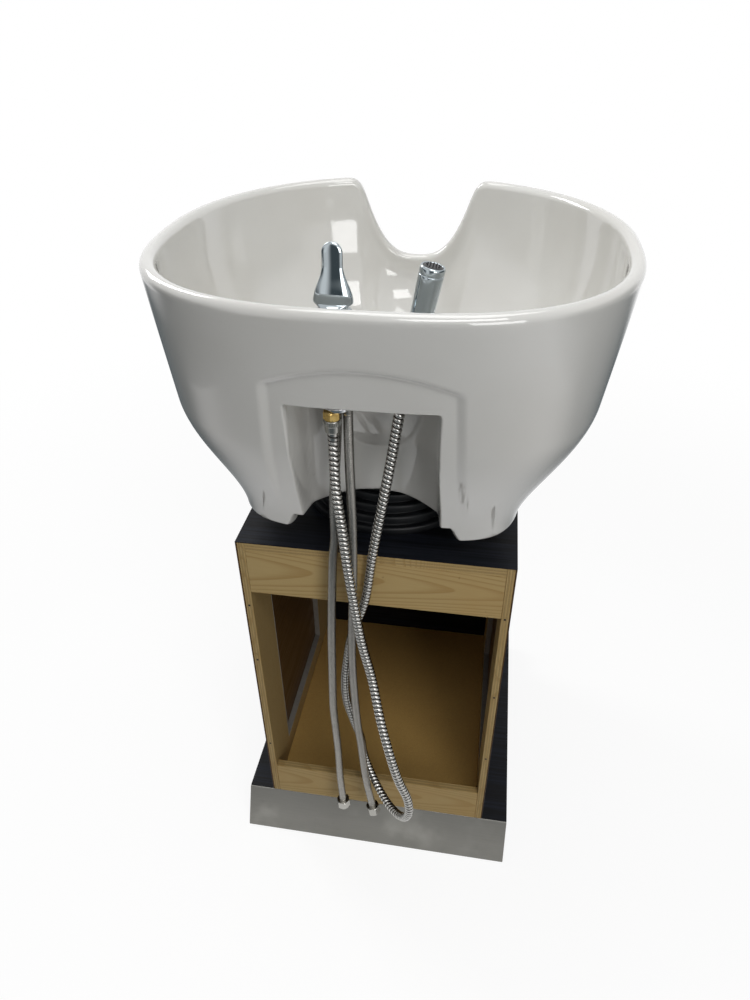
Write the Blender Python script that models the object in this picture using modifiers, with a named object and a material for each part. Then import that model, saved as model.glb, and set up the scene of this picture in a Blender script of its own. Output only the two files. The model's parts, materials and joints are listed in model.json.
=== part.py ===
# Backwash unit: a ceramic shampoo basin with mixer and hand spray, on a tilting
# mount over a plywood cabinet and plinth. Metres, +Z up, +Y away from the open side.

import math

import bmesh
import bpy
import numpy as np
from mathutils import Matrix, Vector

# Clearances
CLEAR = 0.0003
RUNNING = 0.0010

# Plinth
PLINTH_WIDTH = 0.442
PLINTH_DEPTH = 0.460
PLINTH_HEIGHT = 0.070
PLINTH_BOARD = 0.012
PLINTH_RAIL = 0.016
GLIDE_RADIUS = 0.014
GLIDE_HEIGHT = 0.006
KICK_RUN = 0.033
KICK_SHEET = 0.0015
KICK_LIFT = 0.002
KICK_FLANGE = 0.020

# Cabinet
CABINET_WIDTH = 0.360
CABINET_DEPTH = 0.420
CABINET_HEIGHT = 0.552
PLY = 0.012
SIDE_PLY = 0.010
SIDE_SKIN = 0.002
TOP_SHEET = 0.001
TOP_RAIL_DROP = 0.085
BOTTOM_RAIL = 0.070
WINDOW_NEAR = 0.075
WINDOW_FAR_STILE = 0.095
WINDOW_SILL = 0.046
WINDOW_HEAD = 0.105
EDGING = 0.002

# Tilting mount, centred under the basin's waste
MOUNT_Y = 0.160
PIVOT_RISE = 0.050
YOKE_RADIUS = 0.095
YOKE_PLATE = 0.004
YOKE_BORE = 0.052
EAR_WIDTH = 0.040
EAR_THICK = 0.005
LUG_THICK = 0.005
LUG_INNER = 0.050
LUG_HALF_WIDTH = 0.014
FRICTION_DISC = 0.0008
FRICTION_RADIUS = 0.012
PIN_RADIUS = 0.006
PIN_HEAD_RADIUS = 0.009
PIN_HEAD = 0.003
BOLT_CIRCLE = 0.080
BOLT_RADIUS = 0.003
BOLT_HEAD_RADIUS = 0.0065
BOLT_HEAD = 0.0045
BOLT_GRIP = 0.024
CRADLE_RADIUS = 0.062
CRADLE_PLATE = 0.005
PAD_THICK = 0.004
BOOT_RADIUS = 0.118
BOOT_TOP_RADIUS = 0.074
BOOT_HEIGHT = 0.044
BOOT_STEPS = 4
BOOT_WALL = 0.004

# Basin: rim plan, heights above the cabinet top, walls
RIM_HALF_WIDTH = 0.272
RIM_NEAR = -0.067
RIM_FAR = 0.450
RIM_MIDDLE = 0.185
RIM_HEIGHT = 0.338
RIM_SLOPE = 0.02
NEAR_SQUARENESS = 2.67
FAR_SQUARENESS = 2.1
LIP_RADIUS = 0.009
NOTCH_HALF_WIDTH = 0.092
NOTCH_DEPTH = 0.113
NOTCH_POWER = 2.9
FOOT_HALF_WIDTH = 0.178
FOOT_NEAR = -0.003
FOOT_FAR = 0.330
FOOT_SQUARENESS = 5.0
FOOT_HEIGHT = 0.038
FOOT_RISE = 0.045
HULL_TAPER = 0.4
TUCK_START = 0.5
SKIRT_WALL = 0.016
BOWL_WALL = 0.014
DECK_HEIGHT = 0.250
DECK_DEPTH = 0.100
LEDGE_FADE = (0.15, 0.75)
LEVEL_FADE = (-0.35, 0.0)
HULL_LEVELS = (0.16, 0.34, 0.5, 0.62, 0.74, 0.86, 0.95, 1.0)
BOWL_LEVELS = (1.0, 0.93, 0.80, 0.62)
HOLLOW_LEVEL = 0.5
HOLLOW_INNER_LEVEL = 0.70
BOWL_FLOOR = 0.105
FLOOR_EDGE = 0.115
FLOOR_RADIUS = 0.100
FLOOR_MIDDLE = 0.175
BOSS_RADIUS = 0.066
BOSS_HEIGHT = 0.088
ARCH_HALF_WIDTH = 0.080
ARCH_HEIGHT = 0.233
ARCH_CORNER = 0.004
NICHE_HALF_WIDTH = 0.083
NICHE_CORNER = 0.015
NICHE_DEPTH = 0.064
NICHE_FOOT = 0.060
NICHE_WALL = 0.012
PANEL_HALF_WIDTH = 0.104
PANEL_FOOT_HALF_WIDTH = 0.120
PANEL_SIDE_HEIGHT = 0.263
PANEL_HEIGHT = 0.286
PANEL_STEP = 0.006
PANEL_SPAN = (0.05, 1.2)
PANEL_ROWS = 14

# Waste
WASTE_HOLE = 0.0235
WASTE_RADIUS = 0.021
WASTE_WALL = 0.002
WASTE_FLANGE = 0.036
WASTE_FLANGE_THICK = 0.003
WASTE_BAR = 0.005
LOCKNUT_FLATS = 0.060
LOCKNUT_HEIGHT = 0.009
WASTE_BELOW_NUT = 0.006
TAILPIECE_RADIUS = 0.016
TAILPIECE_LENGTH = 0.125
TAILPIECE_FLANGE = 0.003

# Mixer
MIXER_X = -0.036
TAP_Y = 0.0
GASKET = 0.002
MIXER_FLANGE_RADIUS = 0.026
MIXER_FLANGE = 0.005
MIXER_RADIUS = 0.0225
MIXER_HEIGHT = 0.044
MIXER_FLOOR = 0.010
MIXER_WALL = 0.003
SHANK_RADIUS = 0.0165
SHANK_BELOW = 0.029
CLAMP_WASHER = 0.002
CLAMP_WASHER_RADIUS = 0.025
BACKNUT_FLATS = 0.042
BACKNUT_HEIGHT = 0.009
DOME_RADIUS = 0.020
DOME_WALL = 0.003
DOME_MOUTH = math.radians(40)
CARRIER_RADIUS = 0.010
CARRIER_ABOVE = 0.005
CARRIER_BELOW = 0.0056
CAP_GAP = 0.0008
CAP_WALL = 0.0022
CAP_SKIRT = math.radians(62)
LEVER_HEIGHT = 0.080
LEVER_SHOULDER = 0.058
LEVER_TIP_HALF_WIDTH = 0.0105
LEVER_TIP_FLAT = 0.3
LEVER_ROOT_HALF_WIDTH = 0.0205
LEVER_TIP_THICK = 0.006
LEVER_ROOT_THICK = 0.017
LEVER_LEAN = math.radians(4)
STEM_RADIUS = 0.0038
STEM_PIN = 0.0013
STEM_TOP = 0.032
NIPPLE_RADIUS = 0.0103
NIPPLE_LENGTH = 0.010
NIPPLE_AT = (-0.005, -0.008)

# Hand spray and its holder
SPRAY_X = 0.040
SPRAY_LEAN = math.radians(11)
HOLDER_FLANGE_RADIUS = 0.026
HOLDER_FLANGE = 0.004
HOLDER_RADIUS = 0.0215
HOLDER_HEIGHT = 0.022
HOLDER_SHANK_RADIUS = 0.0175
HOLDER_BELOW = 0.018
HOLDER_NUT_FLATS = 0.044
HOLDER_NUT_HEIGHT = 0.008
SOCKET_DEPTH = 0.018
SPRAY_RADIUS = 0.0125
SPRAY_WALL = 0.0025
SPRAY_LENGTH = 0.112
SPRAY_WAIST = 0.92
SPRAY_FACE = 0.004
CONE_NUT_RADIUS = 0.0078
CONE_NUT_LENGTH = 0.024
NUT_TAPER = 0.88

# Hoses
SHOWER_HOSE_RADIUS = 0.0063
SHOWER_HOSE_BORE = 0.0035
RIB_DEPTH = 0.0011
RIB_COUNT = 96
UNION_NUT_RADIUS = 0.0105
UNION_NUT_HEIGHT = 0.016
SUPPLY_HOSE_RADIUS = 0.0058
SUPPLY_POINTS = 40
SUPPLY_NUT_FLATS = 0.019
SUPPLY_NUT_HEIGHT = 0.015
SUPPLY_LEFT_AT = (-0.003, 0.0105)
SUPPLY_RIGHT_AT = (0.0105, 0.003)

# Worked out from the sizes above
CABINET_BASE = PLINTH_HEIGHT + CLEAR
CABINET_TOP = PLINTH_HEIGHT + CABINET_HEIGHT
SIDE_THICK = SIDE_PLY + SIDE_SKIN
INNER_HALF = CABINET_WIDTH / 2 - SIDE_THICK - CLEAR
PIVOT = Vector((0, MOUNT_Y, CABINET_TOP + PIVOT_RISE))
DECK_TOP = CABINET_TOP + DECK_HEIGHT
DECK_UNDER = DECK_TOP - BOWL_WALL
SHANK_END = DECK_UNDER - SHANK_BELOW
SPRAY_AXIS = Vector((math.sin(SPRAY_LEAN), 0, math.cos(SPRAY_LEAN)))
SPRAY_ORIGIN = Vector((SPRAY_X, TAP_Y, DECK_TOP))
MIXER_BASE = DECK_TOP + GASKET + 2 * CLEAR
DOME_CENTRE = Vector((MIXER_X, TAP_Y, MIXER_BASE + MIXER_FLANGE + MIXER_HEIGHT))

# Routes of the hoses, points chosen by hand in the cabinet's own frame
SHOWER_ROUTE = (
    (-0.0400, -0.0125, 0.7660), (-0.0384, -0.0185, 0.7360), (-0.0349, -0.0245, 0.7100),
    (-0.0307, -0.0290, 0.6810), (-0.0250, -0.0360, 0.6350), (-0.0170, -0.0400, 0.5730),
    (-0.0080, -0.0440, 0.5100), (0.0062, -0.0504, 0.4486), (0.0209, -0.0737, 0.3955),
    (0.0369, -0.0928, 0.3467), (0.0497, -0.0982, 0.2999), (0.0622, -0.0979, 0.2612),
    (0.0663, -0.0980, 0.2279), (0.0599, -0.0911, 0.1981), (0.0454, -0.0748, 0.1771),
    (0.0263, -0.0526, 0.1694), (0.0075, -0.0307, 0.1765), (-0.0078, -0.0148, 0.1969),
    (-0.0167, -0.0090, 0.2266), (-0.0193, -0.0114, 0.2635), (-0.0302, -0.0098, 0.3029),
    (-0.0394, -0.0091, 0.3454), (-0.0408, -0.0090, 0.3903), (-0.0360, -0.0090, 0.4360),
    (-0.0278, -0.0090, 0.4860), (-0.0088, -0.0090, 0.5530), (0.0017, -0.0090, 0.6290),
    (0.0126, -0.0080, 0.6970), (0.0182, -0.0060, 0.7330), (0.0240, -0.0030, 0.7700),
)
SUPPLY_LEFT_ROUTE = (
    (-0.0410, 0.0040, 0.770), (-0.0433, -0.0100, 0.710), (-0.0425, -0.0185, 0.662),
    (-0.0457, -0.0225, 0.625), (-0.0495, -0.0235, 0.560), (-0.0531, -0.0235, 0.486),
    (-0.0555, -0.0235, 0.404), (-0.0568, -0.0235, 0.347), (-0.0549, -0.0240, 0.292),
    (-0.0530, -0.0250, 0.239), (-0.0522, -0.0265, 0.177), (-0.0495, -0.0285, 0.131),
)
SUPPLY_RIGHT_ROUTE = (
    (-0.0243, -0.0040, 0.777), (-0.0222, -0.0120, 0.733), (-0.0204, -0.0185, 0.692),
    (-0.0199, -0.0228, 0.647), (-0.0210, -0.0235, 0.599), (-0.0229, -0.0235, 0.546),
    (-0.0253, -0.0235, 0.490), (-0.0258, -0.0235, 0.431), (-0.0238, -0.0245, 0.368),
    (-0.0203, -0.0270, 0.313), (-0.0160, -0.0300, 0.275), (-0.0112, -0.0345, 0.222),
    (-0.0066, -0.0375, 0.184), (0.0000, -0.0405, 0.146),
)
FRAME_Y = (PLINTH_DEPTH + RIM_NEAR - LIP_RADIUS) / 2


def clear_scene():
    for old in list(bpy.data.objects):
        bpy.data.objects.remove(old, do_unlink=True)


clear_scene()
PARTS = bpy.data.collections.new("backwash_unit")
CUTTERS = bpy.data.collections.new("cutters")
bpy.context.scene.collection.children.link(PARTS)
bpy.context.scene.collection.children.link(CUTTERS)
CUTTERS.hide_render = True


def finish(name, colour, roughness, metallic=0.0):
    made = bpy.data.materials.new(name)
    made.use_nodes = True
    shader = made.node_tree.nodes["Principled BSDF"]
    shader.inputs["Base Color"].default_value = (*colour, 1)
    shader.inputs["Roughness"].default_value = roughness
    shader.inputs["Metallic"].default_value = metallic
    return made


CERAMIC = finish("glazed_ceramic", (0.80, 0.79, 0.75), 0.08)
PINE_PLY = finish("pine_plywood", (0.55, 0.36, 0.16), 0.6)
BLACK_BOARD = finish("black_woodgrain_laminate", (0.012, 0.013, 0.018), 0.4)
GREY_EDGE = finish("grey_edging", (0.22, 0.20, 0.18), 0.5)
STEEL = finish("brushed_stainless", (0.34, 0.34, 0.33), 0.35, 1.0)
ZINC = finish("zinc_steel", (0.42, 0.43, 0.45), 0.4, 1.0)
CHROME = finish("chrome", (0.70, 0.71, 0.73), 0.06, 1.0)
BRASS = finish("brass", (0.62, 0.44, 0.14), 0.25, 1.0)
RUBBER = finish("black_rubber", (0.012, 0.014, 0.017), 0.55)
PLASTIC = finish("black_plastic", (0.02, 0.02, 0.022), 0.4)
BRAID = finish("braided_steel", (0.40, 0.39, 0.36), 0.38, 1.0)


def empty(name, matrix, parent=None):
    made = bpy.data.objects.new(name, None)
    PARTS.objects.link(made)
    made.parent = parent
    made.matrix_basis = matrix
    return made


FRAME = empty("frame", Matrix.Translation((0, -FRAME_Y, 0)))
TILT_AXIS = empty("tilt_axis", Matrix.Translation(PIVOT), FRAME)
SWIVEL_AXIS = empty("swivel_axis", Matrix.Translation(DOME_CENTRE - PIVOT), TILT_AXIS)
LIFT_AXIS = empty("lift_axis", Matrix.Identity(4), SWIVEL_AXIS)
SPRAY_SLIDE = empty("spray_slide", Matrix.Translation(SPRAY_ORIGIN - PIVOT), TILT_AXIS)
ORIGINS = {
    FRAME: Vector(),
    TILT_AXIS: PIVOT,
    SWIVEL_AXIS: DOME_CENTRE,
    LIFT_AXIS: DOME_CENTRE,
    SPRAY_SLIDE: SPRAY_ORIGIN,
}


def place(obj, carrier):
    # Parts are drawn in the cabinet's frame, so the carrier's own place is taken off.
    obj.parent = carrier
    obj.matrix_parent_inverse = Matrix.Translation(-ORIGINS[carrier])
    return obj


def part(name, mesh, material, carrier, matrix=None, smooth=True):
    obj = bpy.data.objects.new(name, mesh)
    mesh.materials.clear()
    mesh.materials.append(material)
    PARTS.objects.link(obj)
    if matrix:
        obj.matrix_basis = matrix
    if smooth:
        mesh.shade_smooth()
        mesh.set_sharp_from_angle(angle=math.radians(35))
    return place(obj, carrier)


def cutter(name, mesh, matrix=None):
    obj = bpy.data.objects.new(name, mesh)
    CUTTERS.objects.link(obj)
    obj.hide_render = True
    obj.display_type = "WIRE"
    if matrix:
        obj.matrix_basis = matrix
    return place(obj, FRAME)


def combine(obj, other, operation="DIFFERENCE"):
    step = obj.modifiers.new(other.name, "BOOLEAN")
    step.operation = operation
    step.solver = "EXACT"
    step.object = other
    return obj


def mesh_from(name, bm):
    bmesh.ops.recalc_face_normals(bm, faces=bm.faces)
    mesh = bpy.data.meshes.new(name)
    bm.to_mesh(mesh)
    bm.free()
    return mesh


def box_mesh(name, low, high):
    bm = bmesh.new()
    bmesh.ops.create_cube(bm, size=1)
    low, high = Vector(low), Vector(high)
    size = high - low
    bmesh.ops.scale(bm, vec=size, verts=bm.verts)
    bmesh.ops.translate(bm, vec=(low + high) / 2, verts=bm.verts)
    return mesh_from(name, bm)


def board(name, low, high, material, carrier=None):
    return part(name, box_mesh(name, low, high), material, carrier or FRAME, smooth=False)


def cylinder_mesh(name, radius, low, high, sides=24):
    bm = bmesh.new()
    bmesh.ops.create_cone(
        bm, cap_ends=True, segments=sides, radius1=radius, radius2=radius, depth=high - low
    )
    bmesh.ops.translate(bm, vec=(0, 0, (low + high) / 2), verts=bm.verts)
    return mesh_from(name, bm)


def turned(name, profile, material, carrier, matrix=None, steps=24, ring=True):
    # The profile runs down the outer side; a ring's profile closes on itself.
    mesh = bpy.data.meshes.new(name)
    count = len(profile)
    edges = [(i, i + 1) for i in range(count - 1)]
    if ring:
        edges.append((count - 1, 0))
    mesh.from_pydata([(r, 0, z) for r, z in profile], edges, [])
    obj = part(name, mesh, material, carrier, matrix, smooth=False)
    screw = obj.modifiers.new("turn", "SCREW")
    screw.steps = steps
    screw.render_steps = steps
    screw.use_merge_vertices = True
    screw.merge_threshold = 0.00001
    screw.use_smooth_shade = True
    return obj


def hex_part(name, flats, low, high, bore, material, carrier, matrix=None):
    radius = flats / 2 / math.cos(math.pi / 6)
    obj = part(name, cylinder_mesh(name, radius, low, high, 6), material, carrier, matrix, smooth=False)
    over = high - low
    mesh = cylinder_mesh(name + "_bore", bore, low - over, high + over)
    return combine(obj, cutter(name + "_bore", mesh, matrix))


def outline_mesh(name, outline, low, high, axis="Y"):
    # A flat outline pulled from low to high along one axis.
    curve = bpy.data.curves.new(name, "CURVE")
    curve.dimensions = "2D"
    curve.fill_mode = "BOTH"
    curve.extrude = (high - low) / 2
    spline = curve.splines.new("POLY")
    spline.points.add(len(outline) - 1)
    for point, (a, b) in zip(spline.points, outline):
        point.co = (a, b, 0, 1)
    spline.use_cyclic_u = True
    mesh = curve_to_mesh(name, curve)
    if axis == "Z":
        turn = Matrix.Identity(4)
        shift = Matrix.Translation((0, 0, (low + high) / 2))
    elif axis == "Y":
        turn = Matrix.Rotation(math.pi / 2, 4, "X")
        shift = Matrix.Translation((0, (low + high) / 2, 0))
    else:
        turn = Matrix(((0, 0, 1, 0), (1, 0, 0, 0), (0, 1, 0, 0), (0, 0, 0, 1)))
        shift = Matrix.Translation(((low + high) / 2, 0, 0))
    mesh.transform(shift @ turn)
    bm = bmesh.new()
    bm.from_mesh(mesh)
    return mesh_from(name, bm)


def curve_to_mesh(name, curve):
    holder = bpy.data.objects.new(name + "_curve", curve)
    bpy.context.scene.collection.objects.link(holder)
    graph = bpy.context.evaluated_depsgraph_get()
    mesh = bpy.data.meshes.new_from_object(holder.evaluated_get(graph))
    bpy.data.objects.remove(holder, do_unlink=True)
    bm = bmesh.new()
    bm.from_mesh(mesh)
    bmesh.ops.remove_doubles(bm, verts=bm.verts, dist=0.00001)
    bm.to_mesh(mesh)
    bm.free()
    return mesh


def tube_mesh(name, points, radius, radii=None, resolution=2):
    curve = bpy.data.curves.new(name, "CURVE")
    curve.dimensions = "3D"
    curve.bevel_depth = radius
    curve.bevel_resolution = resolution
    curve.use_fill_caps = True
    spline = curve.splines.new("POLY")
    spline.points.add(len(points) - 1)
    for i, (point, at) in enumerate(zip(spline.points, points)):
        point.co = (*at, 1)
        point.radius = radii[i] if radii else 1
    return curve_to_mesh(name, curve)


def smooth_route(points, per_span=12):
    # Catmull-Rom curve through the route's own points.
    points = [Vector(p) for p in points]
    points = [2 * points[0] - points[1]] + points + [2 * points[-1] - points[-2]]
    path = []
    for a, b, c, d in zip(points, points[1:], points[2:], points[3:]):
        for k in range(per_span):
            t = k / per_span
            path.append(
                0.5 * (2 * b + (c - a) * t + (2 * a - 5 * b + 4 * c - d) * t * t
                       + (3 * b - a - 3 * c + d) * t ** 3)
            )
    path.append(points[-2])
    return path


def straight_run(start, along, length):
    # Three points in line, so that a hose leaves its fitting square to it.
    return (start, start + along * length / 2, start + along * length)


def spaced(path, count):
    # The path's points again, evenly spaced along its length.
    path = np.array([list(p) for p in path])
    run = np.concatenate([[0], np.cumsum(np.linalg.norm(np.diff(path, axis=0), axis=1))])
    at = np.linspace(0, run[-1], count)
    return [Vector([np.interp(s, run, path[:, k]) for k in range(3)]) for s in at], run[-1]


def build_plinth():
    half = PLINTH_WIDTH / 2
    board_under = PLINTH_HEIGHT - PLINTH_BOARD
    rail_top = board_under - CLEAR
    rail_low = GLIDE_HEIGHT + CLEAR
    back = PLINTH_DEPTH - PLINTH_RAIL
    inner = half - PLINTH_RAIL - CLEAR
    front = KICK_SHEET + CLEAR
    board("plinth_top", (-half, front, board_under), (half, PLINTH_DEPTH, PLINTH_HEIGHT), BLACK_BOARD)
    for side, sign in (("left", -1), ("right", 1)):
        # The near end of each side rail is cut to the slope of the kick plate.
        lean = KICK_RUN / PLINTH_HEIGHT
        outline = [
            (front - lean * (PLINTH_HEIGHT - rail_top), rail_top),
            (PLINTH_DEPTH, rail_top),
            (PLINTH_DEPTH, rail_low),
            (front - lean * (PLINTH_HEIGHT - rail_low), rail_low),
        ]
        edges = sorted((sign * half, sign * (half - PLINTH_RAIL)))
        mesh = outline_mesh("plinth_side_" + side, outline, *edges, axis="X")
        part("plinth_side_" + side, mesh, BLACK_BOARD, FRAME, smooth=False)
    board("plinth_back", (-inner, back, rail_low), (inner, PLINTH_DEPTH, rail_top), BLACK_BOARD)
    board("plinth_front", (-inner, front, rail_low), (inner, front + PLINTH_RAIL, rail_top), PINE_PLY)
    build_kick_plate(half, lean)
    for i, sign in enumerate((-1, 1)):
        for k, y in enumerate((GLIDE_RADIUS, PLINTH_DEPTH - GLIDE_RADIUS)):
            at = Matrix.Translation((sign * (half - GLIDE_RADIUS), y, 0))
            rounding = GLIDE_HEIGHT / 4
            profile = [
                (0, GLIDE_HEIGHT), (GLIDE_RADIUS, GLIDE_HEIGHT), (GLIDE_RADIUS, rounding),
                (GLIDE_RADIUS - rounding, 0), (0, 0),
            ]
            name = "glide_" + str(2 * i + k + 1)
            turned(name, profile, PLASTIC, FRAME, at, steps=16, ring=False)


def build_kick_plate(half, lean):
    # Folded sheet: the sloping face and a flange turned in along the floor.
    reach = lean * (PLINTH_HEIGHT - KICK_LIFT)
    flange_top = KICK_LIFT + KICK_SHEET
    flange_reach = lean * (PLINTH_HEIGHT - flange_top)
    outline = [
        (0, PLINTH_HEIGHT), (-reach, KICK_LIFT), (-reach + KICK_FLANGE, KICK_LIFT),
        (-reach + KICK_FLANGE, flange_top), (KICK_SHEET - flange_reach, flange_top),
        (KICK_SHEET, PLINTH_HEIGHT),
    ]
    mesh = outline_mesh("kick_plate", outline, -half, half, axis="X")
    part("kick_plate", mesh, STEEL, FRAME, smooth=False)


def build_cabinet():
    half = CABINET_WIDTH / 2
    top = CABINET_TOP - TOP_SHEET - CLEAR
    base = CABINET_BASE
    build_sides(half, base, top)
    front = CABINET_DEPTH - PLY
    sheet_low = CABINET_TOP - TOP_SHEET
    board("top_laminate", (-half, 0, sheet_low), (half, CABINET_DEPTH, CABINET_TOP), BLACK_BOARD)
    board("top_panel", (-INNER_HALF, 0, top - PLY), (INNER_HALF, CABINET_DEPTH, top), PINE_PLY)
    board(
        "top_rail",
        (-INNER_HALF, 0, top - TOP_RAIL_DROP),
        (INNER_HALF, PLY, top - PLY - CLEAR),
        PINE_PLY,
    )
    board("bottom_rail", (-INNER_HALF, 0, base), (INNER_HALF, PLY, base + BOTTOM_RAIL), PINE_PLY)
    board(
        "floor_panel",
        (-INNER_HALF, PLY + CLEAR, base),
        (INNER_HALF, front - CLEAR, base + PLY),
        PINE_PLY,
    )
    board(
        "front_panel",
        (-INNER_HALF, front, base),
        (INNER_HALF, CABINET_DEPTH, top - PLY - CLEAR),
        BLACK_BOARD,
    )
    mesh = cylinder_mesh("waste_opening", YOKE_BORE, top - 2 * PLY, top + PLY, 28)
    hole = cutter("waste_opening", mesh, Matrix.Translation((0, MOUNT_Y, 0)))
    for name in ("top_panel", "top_laminate"):
        combine(bpy.data.objects[name], hole)


def build_sides(half, base, top):
    # Each side is a plywood sheet with a lightening window, skinned outside.
    sill = base + WINDOW_SILL
    head = top - WINDOW_HEAD
    far = CABINET_DEPTH - WINDOW_FAR_STILE
    for side, sign in (("left", -1), ("right", 1)):
        inside = sign * (half - SIDE_THICK)
        middle = sign * (half - SIDE_SKIN - CLEAR)
        outside = sign * half
        xs = sorted((inside, middle))
        name = "side_panel_" + side
        sheet = board(name, (xs[0], 0, base), (xs[1], CABINET_DEPTH, top), PINE_PLY)
        wide = (xs[0] - PLY, xs[1] + PLY)
        low = (wide[0], WINDOW_NEAR, sill)
        high = (wide[1], far, head)
        combine(sheet, cutter(name + "_window", box_mesh(name + "_window", low, high)))
        skin = sorted((sign * (half - SIDE_SKIN), outside))
        board("side_skin_" + side, (skin[0], 0, base), (skin[1], CABINET_DEPTH, top), BLACK_BOARD)
        rim = CLEAR + EDGING
        name = "window_edging_" + side
        low = (xs[0], WINDOW_NEAR + CLEAR, sill + CLEAR)
        high = (xs[1], far - CLEAR, head - CLEAR)
        edging = board(name, low, high, GREY_EDGE)
        low = (wide[0], WINDOW_NEAR + rim, sill + rim)
        high = (wide[1], far - rim, head - rim)
        combine(edging, cutter(name + "_inside", box_mesh(name + "_inside", low, high)))


def across(x):
    # Turns a piece made along Z to lie along X at the pivot.
    return Matrix.Translation((x, MOUNT_Y, PIVOT.z)) @ Matrix.Rotation(math.pi / 2, 4, "Y")


def build_mount():
    top = CABINET_TOP + CLEAR
    centre = Matrix.Translation((0, MOUNT_Y, 0))
    plate_top = top + YOKE_PLATE
    lug_outer = LUG_INNER + LUG_THICK
    ear_inner = lug_outer + FRICTION_DISC + 2 * CLEAR
    ear_outer = ear_inner + EAR_THICK
    ring = [(YOKE_RADIUS, plate_top), (YOKE_RADIUS, top), (YOKE_BORE, top), (YOKE_BORE, plate_top)]
    yoke = turned("tilt_yoke", ring, ZINC, FRAME, centre, steps=28)
    half = EAR_WIDTH / 2
    ear_top = PIVOT.z + half
    for side, sign in (("left", -1), ("right", 1)):
        edges = sorted((sign * ear_inner, sign * ear_outer))
        corner = half * math.sin(math.pi / 4)
        outline = [
            (MOUNT_Y - half, plate_top - YOKE_PLATE / 2), (MOUNT_Y - half, PIVOT.z),
            (MOUNT_Y - corner, PIVOT.z + corner), (MOUNT_Y, ear_top),
            (MOUNT_Y + corner, PIVOT.z + corner), (MOUNT_Y + half, PIVOT.z),
            (MOUNT_Y + half, plate_top - YOKE_PLATE / 2),
        ]
        ear = cutter("ear_" + side, outline_mesh("ear_" + side, outline, *edges, axis="X"))
        combine(yoke, ear, "UNION")
        hole = cylinder_mesh("ear_hole_" + side, PIN_RADIUS + CLEAR, -half, half, 16)
        combine(yoke, cutter("ear_hole_" + side, hole, across(sign * ear_inner)))
    build_bolts(yoke, plate_top)
    build_pins(ear_outer)
    build_boot(top, centre)
    build_cradle(centre)


def build_bolts(yoke, plate_top):
    sheets = (yoke, bpy.data.objects["top_panel"], bpy.data.objects["top_laminate"])
    for i in range(4):
        angle = math.pi / 4 + i * math.pi / 2
        at = (BOLT_CIRCLE * math.cos(angle), MOUNT_Y + BOLT_CIRCLE * math.sin(angle), plate_top)
        matrix = Matrix.Translation(at)
        profile = [
            (0, BOLT_HEAD + CLEAR), (BOLT_HEAD_RADIUS, BOLT_HEAD + CLEAR), (BOLT_HEAD_RADIUS, CLEAR),
            (BOLT_RADIUS, CLEAR), (BOLT_RADIUS, -BOLT_GRIP), (0, -BOLT_GRIP),
        ]
        name = "mount_bolt_" + str(i + 1)
        turned(name, profile, ZINC, FRAME, matrix, steps=12, ring=False)
        hole = cylinder_mesh(name + "_hole", BOLT_RADIUS + CLEAR, -2 * BOLT_GRIP, BOLT_GRIP, 12)
        drill = cutter(name + "_hole", hole, matrix)
        for sheet in sheets:
            combine(sheet, drill)


def build_pins(ear_outer):
    inner = LUG_INNER
    length = ear_outer + CLEAR - inner
    for side, sign in (("left", -1), ("right", 1)):
        profile = [
            (0, length + PIN_HEAD), (PIN_HEAD_RADIUS, length + PIN_HEAD),
            (PIN_HEAD_RADIUS, length), (PIN_RADIUS, length), (PIN_RADIUS, 0), (0, 0),
        ]
        turn = Matrix.Rotation(sign * math.pi / 2, 4, "Y")
        matrix = Matrix.Translation((sign * inner, MOUNT_Y, PIVOT.z)) @ turn
        turned("tilt_pin_" + side, profile, ZINC, FRAME, matrix, steps=16, ring=False)
        near = LUG_THICK + CLEAR
        disc = [
            (FRICTION_RADIUS, near + FRICTION_DISC), (FRICTION_RADIUS, near),
            (PIN_RADIUS + CLEAR, near), (PIN_RADIUS + CLEAR, near + FRICTION_DISC),
        ]
        turned("friction_disc_" + side, disc, PLASTIC, FRAME, matrix, steps=16)


def build_boot(top, centre):
    # Stepped rubber collar, open at the top for the moving cradle.
    outer = []
    inner = []
    rise = (BOOT_HEIGHT - BOOT_WALL) / BOOT_STEPS
    run = (BOOT_RADIUS - BOOT_TOP_RADIUS) / BOOT_STEPS
    for i in range(BOOT_STEPS + 1):
        radius = BOOT_RADIUS - run * i
        low = top + rise * i
        high = low + (rise if i < BOOT_STEPS else BOOT_WALL)
        outer += [(radius, low), (radius, high)]
        inner += [(radius - BOOT_WALL, max(top, low - BOOT_WALL)), (radius - BOOT_WALL, high - BOOT_WALL)]
    inner[-1] = (BOOT_TOP_RADIUS - BOOT_WALL, top + BOOT_HEIGHT)
    turned("tilt_boot", outer[::-1] + inner, RUBBER, FRAME, centre, steps=32)


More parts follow.
